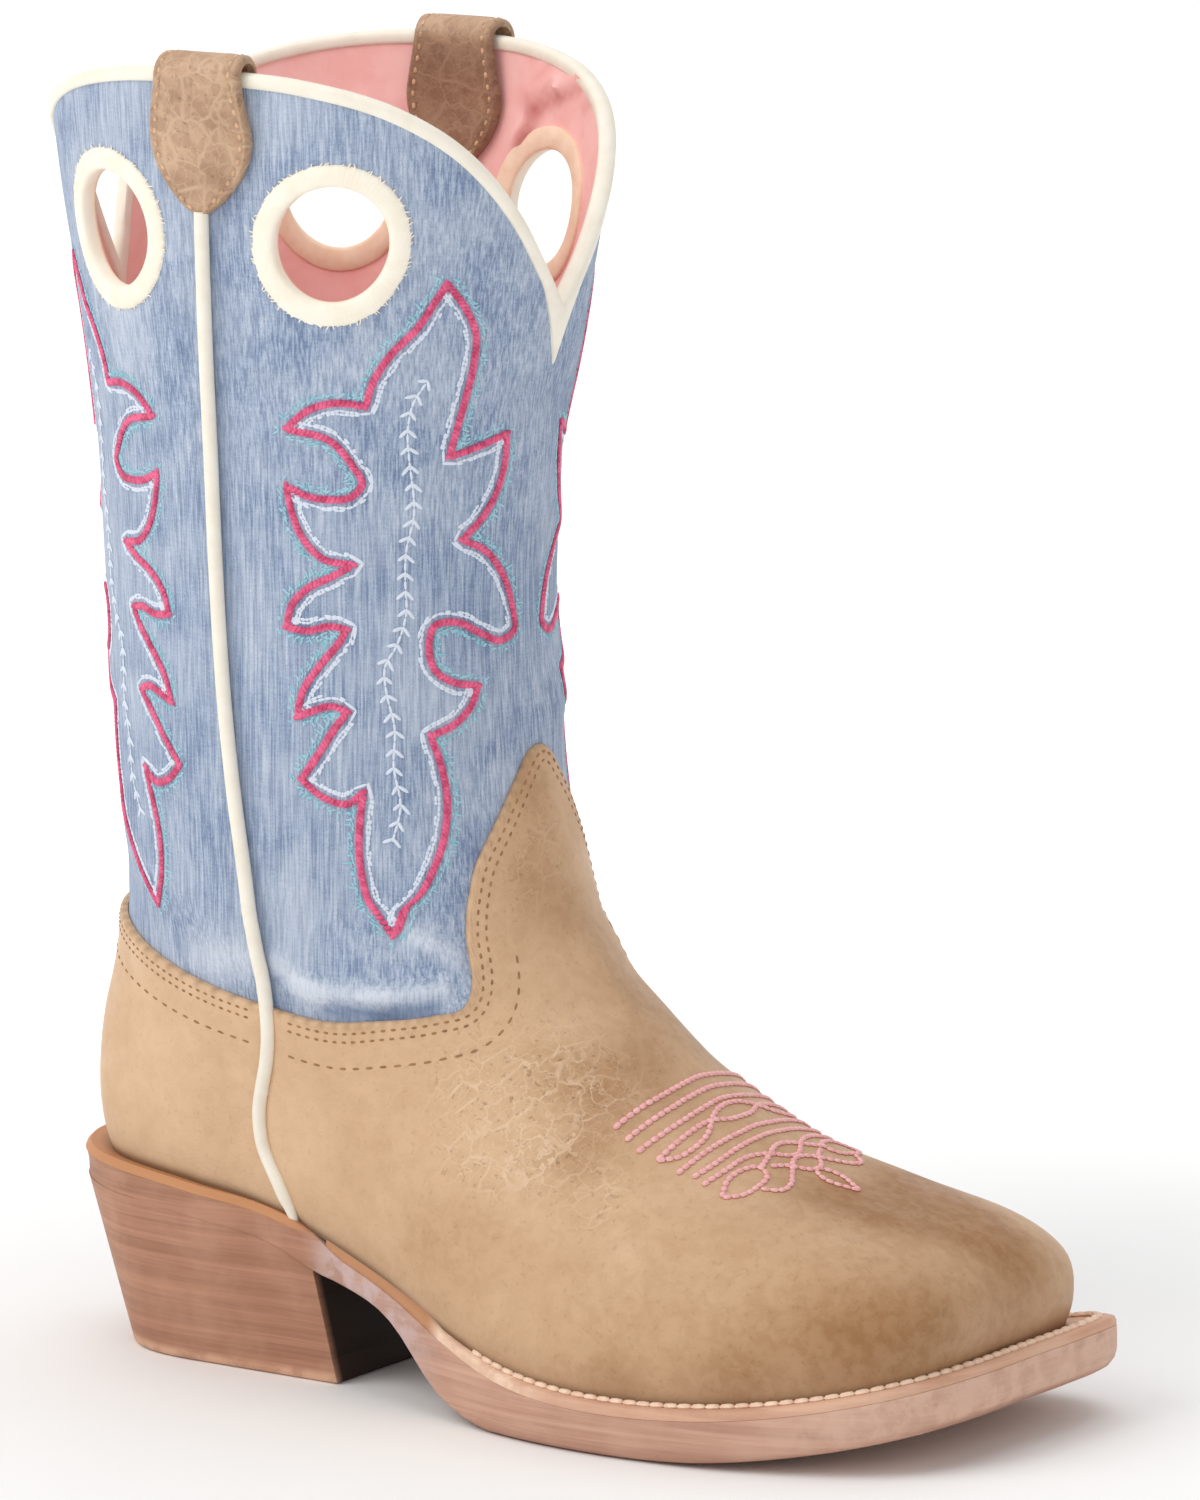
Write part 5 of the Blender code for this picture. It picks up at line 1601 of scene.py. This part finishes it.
def make_outsole(sizes):
    """Leather outsole: rounded edge, arched shank with a worn waist, rolled rim round the heel seat."""
    angles = np.radians(np.linspace(-180, 180, OUTSOLE_COLUMNS, endpoint=False))
    x = sole_edge(angles)[0]
    seat = 1 - past(x, "seat_end")
    to_end = WELT_END + LEDGE_RUN / 2 - np.abs(np.degrees(angles))
    ledge = (sizes.welt_thick / MM + LEDGE_GAP) * soft_step(to_end, 0, LEDGE_RUN)
    low = LOW_ROUND
    for place, more in LOW_ADDED.items():
        low = low + more * past(x, place)
    hollow = SHANK_HOLLOW * past(x, "hollow") * (1 - past(x, "hollow_end"))
    top_round = TOP_ROUND + SEAT_ROUND * seat
    bulge = RIM_BULGE * seat
    # inset from the edge, share of the way from the bottom to the top, further rise
    form = [
        (low + 6, 0, 0),
        (low, 0, 0),
        (low * 0.45, 0, low * 0.18),
        (low * 0.12, 0, low * 0.55),
        (0 * low, 0, low),
        (-0.1 - bulge * 0.1, 0.5, 0),
        (-0.08 - bulge * 0.7, 0.8, 0),
        (-bulge, 1, -top_round),
        (top_round * 0.3 - bulge, 1, -top_round * 0.3),
        (top_round * 0.9 - bulge, 1, 0.35 * seat),
        (1.6 * top_round, 1, 0.1 * seat),
    ]
    rings = []
    for inset, share, rise in form:
        plan = sole_edge(angles, inset)
        top, bottom = sole_heights(plan[0])
        bottom = bottom + hollow
        rings.append(ring_at(plan, bottom + share * (top - ledge - bottom) + rise))
    inner = feather_inset(angles, SOLE_INSET)
    rings.append(ring_at(inner, sole_heights(inner[0])[0] - ledge - 0.05))
    points = np.stack(rings)
    x, row = points[..., 0], np.arange(len(rings))[:, None]
    on_seat = 1 - past(x, "rim_end")
    # painted shade in the groove over the seat's rim, and under the shank
    groove = 0.7 * on_seat * (row == GROOVE_ROW)
    under = 0.55 * (row < UNDERSIDE_ROWS) * past(x, "shade") * (1 - past(x, "shade_end"))
    masks = {
        "waist": 0.9 * (past(x, "waist") * (1 - past(x, "waist_end")) * (row >= EDGE_ROW)),
        # pale toe edge: scuffs, and a painted highlight on its downward face
        "pale": 0.75 * past(x, "toe_scuff_and_highlight") * (row >= EDGE_ROW),
        "dark": np.maximum(under, groove),
        "rim": 0.9 * on_seat * ((row >= RIM_ROW) & (row < GROOVE_ROW)),
    }
    add_piece("leather_outsole", loft(points, 1), ["sole", "heel"], ["outsole"],
              masks, behind=SEAT_TONE_END)


def make_welt(sizes):
    """Welt round the forefoot, set back to a brown rand along the waist, with its row of stitches."""
    thick = sizes.welt_thick / MM
    angles = np.radians(np.linspace(-WELT_END, WELT_END, WELT_COLUMNS))
    x = sole_edge(angles)[0]
    waist, toe = 1 - past(x, "rand_end"), past(x, "welt_toe")
    sections = []
    for inset, share in WELT_FORM:
        plan = sole_edge(angles, inset * (1 + 0.5 * toe) + RAND_INSET * waist)
        top = sole_heights(plan[0])[0] - thick * (1 - share)
        sections.append(ring_at(plan, top + RAND_RISE * waist * share))
    for share in (1.0, 0.0):
        plan = feather_inset(angles, WELT_INSET)
        sections.append(ring_at(plan, sole_heights(plan[0])[0] - thick * (1 - share)))
    points = np.stack(sections, axis=1)
    along = np.broadcast_to(x[:, None], points.shape[:2])
    rand = 1 - past(along, "rand_end")
    masks = {
        # painted highlight on the welt ahead of the rand
        "pale": 0.75 * past(along, "rand_end") * (1 - past(along, "welt_highlight_end")),
        "dark": rand * RAND_SHADE[None, :],
        "rim": 0.8 * rand,
    }
    add_piece("stitched_welt", sweep(points, False), ["welt"], ["welt"], masks)
    plan = sole_edge(angles, np.minimum(feather_line(angles)[2] * STITCH_SHARE, STITCH_INSET))
    kept = (x > STITCH_START) | (np.abs(np.degrees(angles)) < STITCH_TURN)
    run = by_length(ring_at(plan, sole_heights(plan[0])[0])[kept], sizes.welt_pitch / MM)
    way = np.diff(run, axis=0)
    up = np.tile([0.0, 0.0, 1.0], (len(way), 1))
    shape = stitch_shape(run[:-1] - way * 0.02, run[1:] + way * 0.02, up, "welt", 0.30)
    add_piece("welt_stitches", shape, ["peach"])


def heel_plan(share):
    """Heel's plan from the seat (0) to the floor (1), round the back and then across the breast."""
    seat = np.stack(sole_edge(np.radians(np.linspace(*HEEL_TURN, 601)), -HEEL_BEYOND), -1)
    seat = by_length(seat[seat[:, 0] <= HEEL_BREAST_TOP], count=HEEL_COLUMNS)
    turn = np.linspace(-QUARTER, QUARTER, 181)
    power = 2 / HEEL_SQUARENESS
    back = np.stack([
        HEEL_MIDDLE - (HEEL_MIDDLE - HEEL_BACK) * np.cos(turn) ** power,
        HEEL_HALF * np.sign(np.sin(turn)) * np.abs(np.sin(turn)) ** power,
    ], -1)
    breast = np.array([(HEEL_BREAST, -HEEL_HALF), (HEEL_BREAST, HEEL_HALF)])
    floor = by_length(np.concatenate([breast[:1], back, breast[1:]]), count=HEEL_COLUMNS)
    side = seat * (1 - share) + floor * share
    across = np.linspace(0, 1, BREAST_COLUMNS + 2)[1:-1, None]
    return np.concatenate([side, side[-1] * (1 - across) + side[0] * across])


def heel_rings(heights, insets):
    """Rings of the heel at heights, each brought in a little, and where their breast is."""
    near, far = heel_plan(0), heel_plan(1)
    rings = []
    for z, inset in zip(heights, insets):
        share = 1 - np.broadcast_to(z, len(near)) / SOLE_PROFILE[1, 2]
        plan = near * (1 - share[:, None]) + far * share[:, None]
        plan = plan + unit(plan.mean(axis=0) - plan) * inset
        rings.append(np.column_stack([plan, np.broadcast_to(z, len(plan))]))
    points = np.stack(rings)
    on_breast = np.arange(points.shape[1]) >= HEEL_COLUMNS
    return points, np.broadcast_to(on_breast, points.shape[:2]).astype(float)


def make_heel():
    """Stacked heel with its paler last lift and shaded breast."""
    seat_top = sole_heights(heel_plan(0)[:, 0])[1] - HEEL_GAP
    foot = HEEL_CAP + LIFT_GAP
    shares = np.linspace(0, 1, HEEL_ROWS)
    points, breast = heel_rings([foot + (seat_top - foot) * t for t in shares], 0 * shares)
    none = np.zeros(breast.shape)
    add_piece("stacked_heel", loft(points, 0), ["heel"], ["heel"],
              {"pale": none, "dark": 0.97 * breast, "rim": none})
    points, breast = heel_rings(*LIFT_FORM.T)
    pale = (1 - soft_step(points[..., 2], *LIFT_RUB)) * (1 - breast)
    add_piece("heel_lift", loft(points, 0), ["heel"], ["heel_cap"],
              {"pale": pale, "dark": 0.95 * breast, "rim": np.zeros(breast.shape)})


# Stage

CAMERA_TARGET = (100.0, 0.0, 135.0)
CAMERA_TURN, CAMERA_AWAY, CAMERA_HEIGHT = 34.5, 1830.0, 457.0
CAMERA_SLIDE = (16.3, -5.5)  # aim to the right of and above the target
CAMERA_PIXELS = 9290.6  # focal length in pixels of a frame 1500 pixels high
FRAME_HEIGHT = 1500.0
SENSOR = 36.0
LIGHT_AIM = (95, 0, 110)
FLOOR_GAP = 0.2  # paper's depth below the boot's lowest point
GLOW_REACH = (70.0, 600.0)  # from the middle: where the paper's glow starts and is full


def aim_at(thing, place, aim):
    """Put a light or camera at a place, aimed at another, in millimetres of the model."""
    place = np.asarray(place, float)
    thing.location = (place - ORIGIN) * MM
    thing.rotation_euler = Vector((np.asarray(aim) - place).tolist()).to_track_quat("-Z", "Y").to_euler()


def add_light(name, place, size, power, colour):
    """Soft square light aimed at the boot."""
    light = bpy.data.lights.new(name, "AREA")
    light.shape, light.size, light.energy, light.color = "SQUARE", size, power, colour
    aim_at(placed(name, light), place, LIGHT_AIM)


def make_sweep():
    """Paper sweep: a flat floor that curves up behind the boot as the camera sees it."""
    turn = np.radians(np.linspace(0, 90, 13))
    bend, back, front, rise, half = 900.0, 3200.0, -3600.0, 2600.0, 4200.0
    profile = [(front, 0.0), (-1200.0, 0.0), (0.0, 0.0), (1200.0, 0.0)]
    profile += [(back - bend + bend * np.sin(t), bend - bend * np.cos(t)) for t in turn]
    profile.append((back, rise))
    camera_turn = np.radians(CAMERA_TURN)
    away = np.array([-np.sin(camera_turn), np.cos(camera_turn)])
    side = np.array([np.cos(camera_turn), np.sin(camera_turn)])
    points = []
    for along, z in profile:
        for across in (-half, 0.0, half):
            x, y = np.array(CAMERA_TARGET[:2]) + away * along + side * across
            points.append((x, y, z - FLOOR_GAP))
    return np.array(points), grid_quads(len(profile), 3, 0, False, True).tolist()


def make_floor(glow):
    """Pale paper sweep that glows far behind the boot."""
    points, faces = make_sweep()
    mesh = bpy.data.meshes.new("floor")
    mesh.from_pydata(((points - ORIGIN) * MM).tolist(), [], faces)
    mesh.shade_smooth()
    floor = placed("floor", mesh)
    paper, desk, shader = material("floor_paper", 0.9)
    place = desk.place()
    finish(desk, shader, desk.mix(desk.noise(place, 0.02), grey(0.92), grey(0.95)))
    away = desk.add("ShaderNodeVectorMath", {0: place}, operation="LENGTH").outputs["Value"]
    far = desk.span(away, *GLOW_REACH)
    desk.link(desk.mix(far, grey(0.0), grey(1.0)), shader.inputs["Emission Color"])
    shader.inputs["Emission Strength"].default_value = glow
    mesh.materials.append(paper)


def make_camera():
    """Camera at the photograph's angle."""
    turn = np.radians(CAMERA_TURN)
    target = np.array(CAMERA_TARGET)
    eye = target + np.array([np.sin(turn) * CAMERA_AWAY, -np.cos(turn) * CAMERA_AWAY, 0])
    eye[2] = CAMERA_HEIGHT
    way = unit(target - eye)
    right = unit(np.cross(way, [0, 0, 1]))
    up = np.cross(right, way)
    data = bpy.data.cameras.new("camera")
    data.sensor_width, data.lens = SENSOR, CAMERA_PIXELS * SENSOR / FRAME_HEIGHT
    camera = placed("camera", data)
    aim_at(camera, eye, target + right * CAMERA_SLIDE[0] + up * CAMERA_SLIDE[1])
    bpy.context.scene.camera = camera


def make_stage(studio):
    """Pale paper sweep, soft lights and the camera."""
    scene = bpy.context.scene
    make_floor(studio.paper)
    world = bpy.data.worlds.new("studio")
    world.use_nodes = True
    sky = world.node_tree.nodes["Background"]
    sky.inputs["Color"].default_value = grey(1.0)
    sky.inputs["Strength"].default_value = studio.ambient
    scene.world = world
    add_light("key", (-900, -1500, 1700), 1.6, studio.key, (1.0, 0.98, 0.95))
    add_light("fill", (1600, -1300, 900), 1.6, studio.fill, (0.97, 0.98, 1.0))
    add_light("top", (100, 300, 2200), 2.0, studio.top, (1.0, 1.0, 1.0))
    scene.view_settings.view_transform = "Standard"
    make_camera()


# Settings

def size_setting(name, default, about):
    """Length that a user may change, in metres."""
    return bpy.props.FloatProperty(name=name, description=about, default=default, min=0.0, precision=5,
                                   subtype="DISTANCE", unit="LENGTH")


def light_setting(name, default, about, unit="NONE"):
    """Strength of light that a user may change."""
    return bpy.props.FloatProperty(name=name, description=about, default=default, min=0, unit=unit)


def colour_setting(name, red, green, blue, about):
    """Screen colour that a user may change, given from 0 to 255."""
    return bpy.props.FloatVectorProperty(name=name, description=about, subtype="COLOR_GAMMA", size=3,
                                         min=0, max=1, default=(red / 255, green / 255, blue / 255))


class BootSizes(bpy.types.PropertyGroup):
    """Sizes of what is sewn on the form."""

    denim_thick: size_setting("Denim", 0.0009, "Thickness of the denim")
    leather_thick: size_setting("Leather", 0.0014, "Thickness of the vamp and counter")
    binding_leg: size_setting("Binding", 0.0019, "Width of the collar's binding")
    binding_point: size_setting("Binding point", 0.0095, "Extra length of the binding at the front notch")
    cord_radius: size_setting("Cord", 0.0015, "Radius of the side seams' piping")
    strap_thick: size_setting("Strap", 0.0018, "Thickness of the pull straps")
    flame_width: size_setting("Flame width", 0.0014, "Width of the flame's satin line")
    flame_pitch: size_setting("Flame pitch", 0.0009, "Distance between the flame's stitches")
    vine_pitch: size_setting("Vine pitch", 0.0037, "Distance between the vine's side stitches")
    toe_pitch: size_setting("Toe pitch", 0.0016, "Length of a stitch of the toe pattern")
    edge_pitch: size_setting("Edge pitch", 0.0022, "Distance between the edge stitches")
    welt_thick: size_setting("Welt", 0.0021, "Thickness of the welt")
    welt_pitch: size_setting("Welt pitch", 0.003, "Distance between the welt's stitches")
    ring_threads: bpy.props.IntProperty(name="Ring threads", description="Threads round a pull hole",
                                        default=96)


class BootColours(bpy.types.PropertyGroup):
    """Colours of the boot's materials."""

    denim: colour_setting("Denim", 152, 168, 193, "Washed denim")
    # also paints the shade beside the seams and in the folds
    denim_dark: colour_setting("Denim, dark", 106, 125, 158, "Unworn denim")
    denim_pale: colour_setting("Denim, pale", 214, 221, 232, "Denim washed pale")
    lining: colour_setting("Lining", 255, 202, 197, "Coral lining")
    lining_deep: colour_setting("Lining, deep", 242, 164, 158, "Lining's deeper tone")
    # paints the shade in the lining's creases
    crease: colour_setting("Crease", 196, 104, 98, "Lining in its creases")
    tan: colour_setting("Tan", 222, 185, 147, "Vamp and counter leather")
    tan_dark: colour_setting("Tan, dark", 152, 104, 54, "Darker patches of the leather")
    # also paints the shade along the foot of the vamp and counter
    tan_deep: colour_setting("Tan, deep", 100, 68, 42, "Leather's specks and cut edges")
    tan_pale: colour_setting("Tan, pale", 238, 208, 176, "Crackle where the finish is worn")
    strap: colour_setting("Strap", 206, 170, 138, "Pull strap leather")
    strap_dark: colour_setting("Strap, dark", 128, 92, 66, "Darker patches of the straps")
    # also paints the shade in the straps' sewn grooves
    strap_deep: colour_setting("Strap, deep", 96, 62, 40, "Straps' specks and cut edges")
    strap_pale: colour_setting("Strap, pale", 224, 194, 162, "Marbling of the straps")
    strap_thread: colour_setting("Strap thread", 226, 184, 146, "Straps' edge stitches")
    cream: colour_setting("Cream", 246, 240, 226, "Piping and binding")
    cream_deep: colour_setting("Cream, deep", 228, 216, 192, "Piping's shaded tone")
    ring: colour_setting("Ring", 250, 243, 228, "Stitched hole rings")
    ring_deep: colour_setting("Ring, deep", 238, 222, 194, "Deeper tone of the hole rings")
    facing: colour_setting("Facing", 252, 228, 202, "Facings behind the pull holes")
    facing_deep: colour_setting("Facing, deep", 236, 198, 164, "Facings' deeper tone")
    pink: colour_setting("Pink", 238, 104, 146, "Flame's thread")
    pink_deep: colour_setting("Pink, deep", 184, 40, 90, "Flame thread's shaded turns")
    aqua: colour_setting("Aqua", 140, 200, 212, "Ticks outside the flame")
    aqua_pale: colour_setting("Aqua, pale", 178, 214, 226, "Paler ticks")
    pale_thread: colour_setting("Pale thread", 220, 229, 243, "Line inside the flame and the vine")
    rose: colour_setting("Rose", 244, 188, 186, "Toe stitching")
    rose_deep: colour_setting("Rose, deep", 224, 148, 148, "Toe thread's shade")
    brown_thread: colour_setting("Brown thread", 168, 124, 84, "Edge stitching")
    insole: colour_setting("Insole", 196, 156, 122, "Insole")
    welt: colour_setting("Welt", 218, 170, 142, "Welt")
    welt_deep: colour_setting("Welt, deep", 172, 122, 98, "Welt's deeper tone")
    # also paints the highlight on the welt
    peach: colour_setting("Peach thread", 250, 222, 196, "Welt's stitches and rubbed edge")
    sole: colour_setting("Sole", 210, 166, 144, "Outsole's edge")
    sole_deep: colour_setting("Sole, deep", 152, 106, 86, "Outsole's darker layers")
    # also paints the highlight on the outsole's toe
    sole_pale: colour_setting("Sole, pale", 226, 190, 168, "Outsole rubbed pale")
    waist: colour_setting("Waist", 204, 180, 178, "Shank's edge, rubbed grey")
    rim: colour_setting("Rim", 200, 142, 98, "Rolled rim round the heel seat")
    heel: colour_setting("Heel", 186, 136, 110, "Stacked heel")
    heel_deep: colour_setting("Heel, deep", 112, 72, 56, "Heel's darker layers")
    heel_pale: colour_setting("Heel, pale", 226, 182, 152, "Heel's rubbed edge")


class BootStudio(bpy.types.PropertyGroup):
    """Strength of the studio's light."""

    ambient: light_setting("Ambient", 0.46, "Light from all round")
    key: light_setting("Key", 26.0, "Light from the left", "POWER")
    fill: light_setting("Fill", 5.0, "Light from the right", "POWER")
    top: light_setting("Top", 16.0, "Light from above", "POWER")
    paper: light_setting("Paper", 0.35, "Glow of the paper sweep far behind")


SETTINGS = {"boot_sizes": BootSizes, "boot_colours": BootColours, "boot_studio": BootStudio}


# Operators

class BOOT_OT_shaft(bpy.types.Operator):
    """Denim shaft and coral lining"""

    bl_idname = "boot.shaft"
    bl_label = "Shaft and lining"

    def execute(self, context):
        make_shaft(context.scene.boot_sizes)
        return {"FINISHED"}


class BOOT_OT_leather(bpy.types.Operator):
    """Vamp and heel counter"""

    bl_idname = "boot.leather"
    bl_label = "Vamp and counter"

    def execute(self, context):
        thick = context.scene.boot_sizes.leather_thick / MM
        for name, row in OVERLAYS.items():
            make_overlay(name, *row, thick)
        return {"FINISHED"}


class BOOT_OT_piping(bpy.types.Operator):
    """Collar binding and side seam cords"""

    bl_idname = "boot.piping"
    bl_label = "Piping"

    def execute(self, context):
        sizes = context.scene.boot_sizes
        make_binding(sizes)
        for side in (-1, 1):
            make_cord(side, sizes)
        return {"FINISHED"}


class BOOT_OT_straps(bpy.types.Operator):
    """Pull straps with their edge stitches"""

    bl_idname = "boot.straps"
    bl_label = "Pull straps"

    def execute(self, context):
        for side in (-1, 1):
            make_strap(side, context.scene.boot_sizes)
        return {"FINISHED"}


class BOOT_OT_rings(bpy.types.Operator):
    """Stitched rings round the pull holes"""

    bl_idname = "boot.rings"
    bl_label = "Pull hole rings"

    def execute(self, context):
        draw = np.random.default_rng(11)
        ends = [make_ring(side, end, context.scene.boot_sizes, draw) for side, end in HOLES]
        add_piece("ring_thread_ends", joined(ends), ["ring"])
        return {"FINISHED"}


class BOOT_OT_embroidery(bpy.types.Operator):
    """Flame embroidery on the four shaft panels"""

    bl_idname = "boot.embroidery"
    bl_label = "Flame embroidery"

    def execute(self, context):
        draw = np.random.default_rng(5)
        for side, end in HOLES:
            shapes = make_flame(side, end, context.scene.boot_sizes, draw)
            for colour, some in shapes.items():
                name = f"flame_{colour}_{SIDE_NAME[side]}_{END_NAME[end]}"
                add_piece(name, joined(some), [colour])
        return {"FINISHED"}


class BOOT_OT_stitching(bpy.types.Operator):
    """Toe pattern and edge stitching of the leather"""

    bl_idname = "boot.stitching"
    bl_label = "Leather stitching"

    def execute(self, context):
        make_toe_stitching(context.scene.boot_sizes)
        make_edge_stitching(context.scene.boot_sizes)
        return {"FINISHED"}


class BOOT_OT_sole(bpy.types.Operator):
    """Outsole, welt and insole"""

    bl_idname = "boot.sole"
    bl_label = "Sole"

    def execute(self, context):
        make_outsole(context.scene.boot_sizes)
        make_welt(context.scene.boot_sizes)
        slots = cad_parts["insole"].data.materials
        slots.clear()
        slots.append(finishes()["insole"])
        return {"FINISHED"}


class BOOT_OT_heel(bpy.types.Operator):
    """Stacked heel and its last lift"""

    bl_idname = "boot.heel"
    bl_label = "Heel"

    def execute(self, context):
        make_heel()
        return {"FINISHED"}


class BOOT_OT_stage(bpy.types.Operator):
    """Floor, lights and camera"""

    bl_idname = "boot.stage"
    bl_label = "Studio"

    def execute(self, context):
        make_stage(context.scene.boot_studio)
        return {"FINISHED"}


OPERATORS = (BOOT_OT_shaft, BOOT_OT_leather, BOOT_OT_piping, BOOT_OT_straps, BOOT_OT_rings,
             BOOT_OT_embroidery, BOOT_OT_stitching, BOOT_OT_sole, BOOT_OT_heel, BOOT_OT_stage)


class BOOT_PT_sidebar(bpy.types.Panel):
    """Lists the boot's pieces, sizes and colours"""

    bl_idname = "BOOT_PT_sidebar"
    bl_label = "Western boot"
    bl_space_type = "VIEW_3D"
    bl_region_type = "UI"
    bl_category = "Boot"

    def draw(self, context):
        for operator in OPERATORS:
            self.layout.operator(operator.bl_idname)
        for key, kind in SETTINGS.items():
            for name in kind.__annotations__:
                self.layout.prop(getattr(context.scene, key), name)


CLASSES = (*SETTINGS.values(), *OPERATORS, BOOT_PT_sidebar)


def register():
    for kind in CLASSES:
        bpy.utils.register_class(kind)
    for key, kind in SETTINGS.items():
        setattr(bpy.types.Scene, key, bpy.props.PointerProperty(type=kind))


def unregister():
    for key in SETTINGS:
        delattr(bpy.types.Scene, key)
    for kind in reversed(CLASSES):
        bpy.utils.unregister_class(kind)


def main():
    register()
    for step in (bpy.ops.boot.shaft, bpy.ops.boot.leather, bpy.ops.boot.piping, bpy.ops.boot.straps,
                 bpy.ops.boot.rings, bpy.ops.boot.embroidery, bpy.ops.boot.stitching, bpy.ops.boot.sole,
                 bpy.ops.boot.heel, bpy.ops.boot.stage):
        step()


if __name__ == "__main__":
    main()
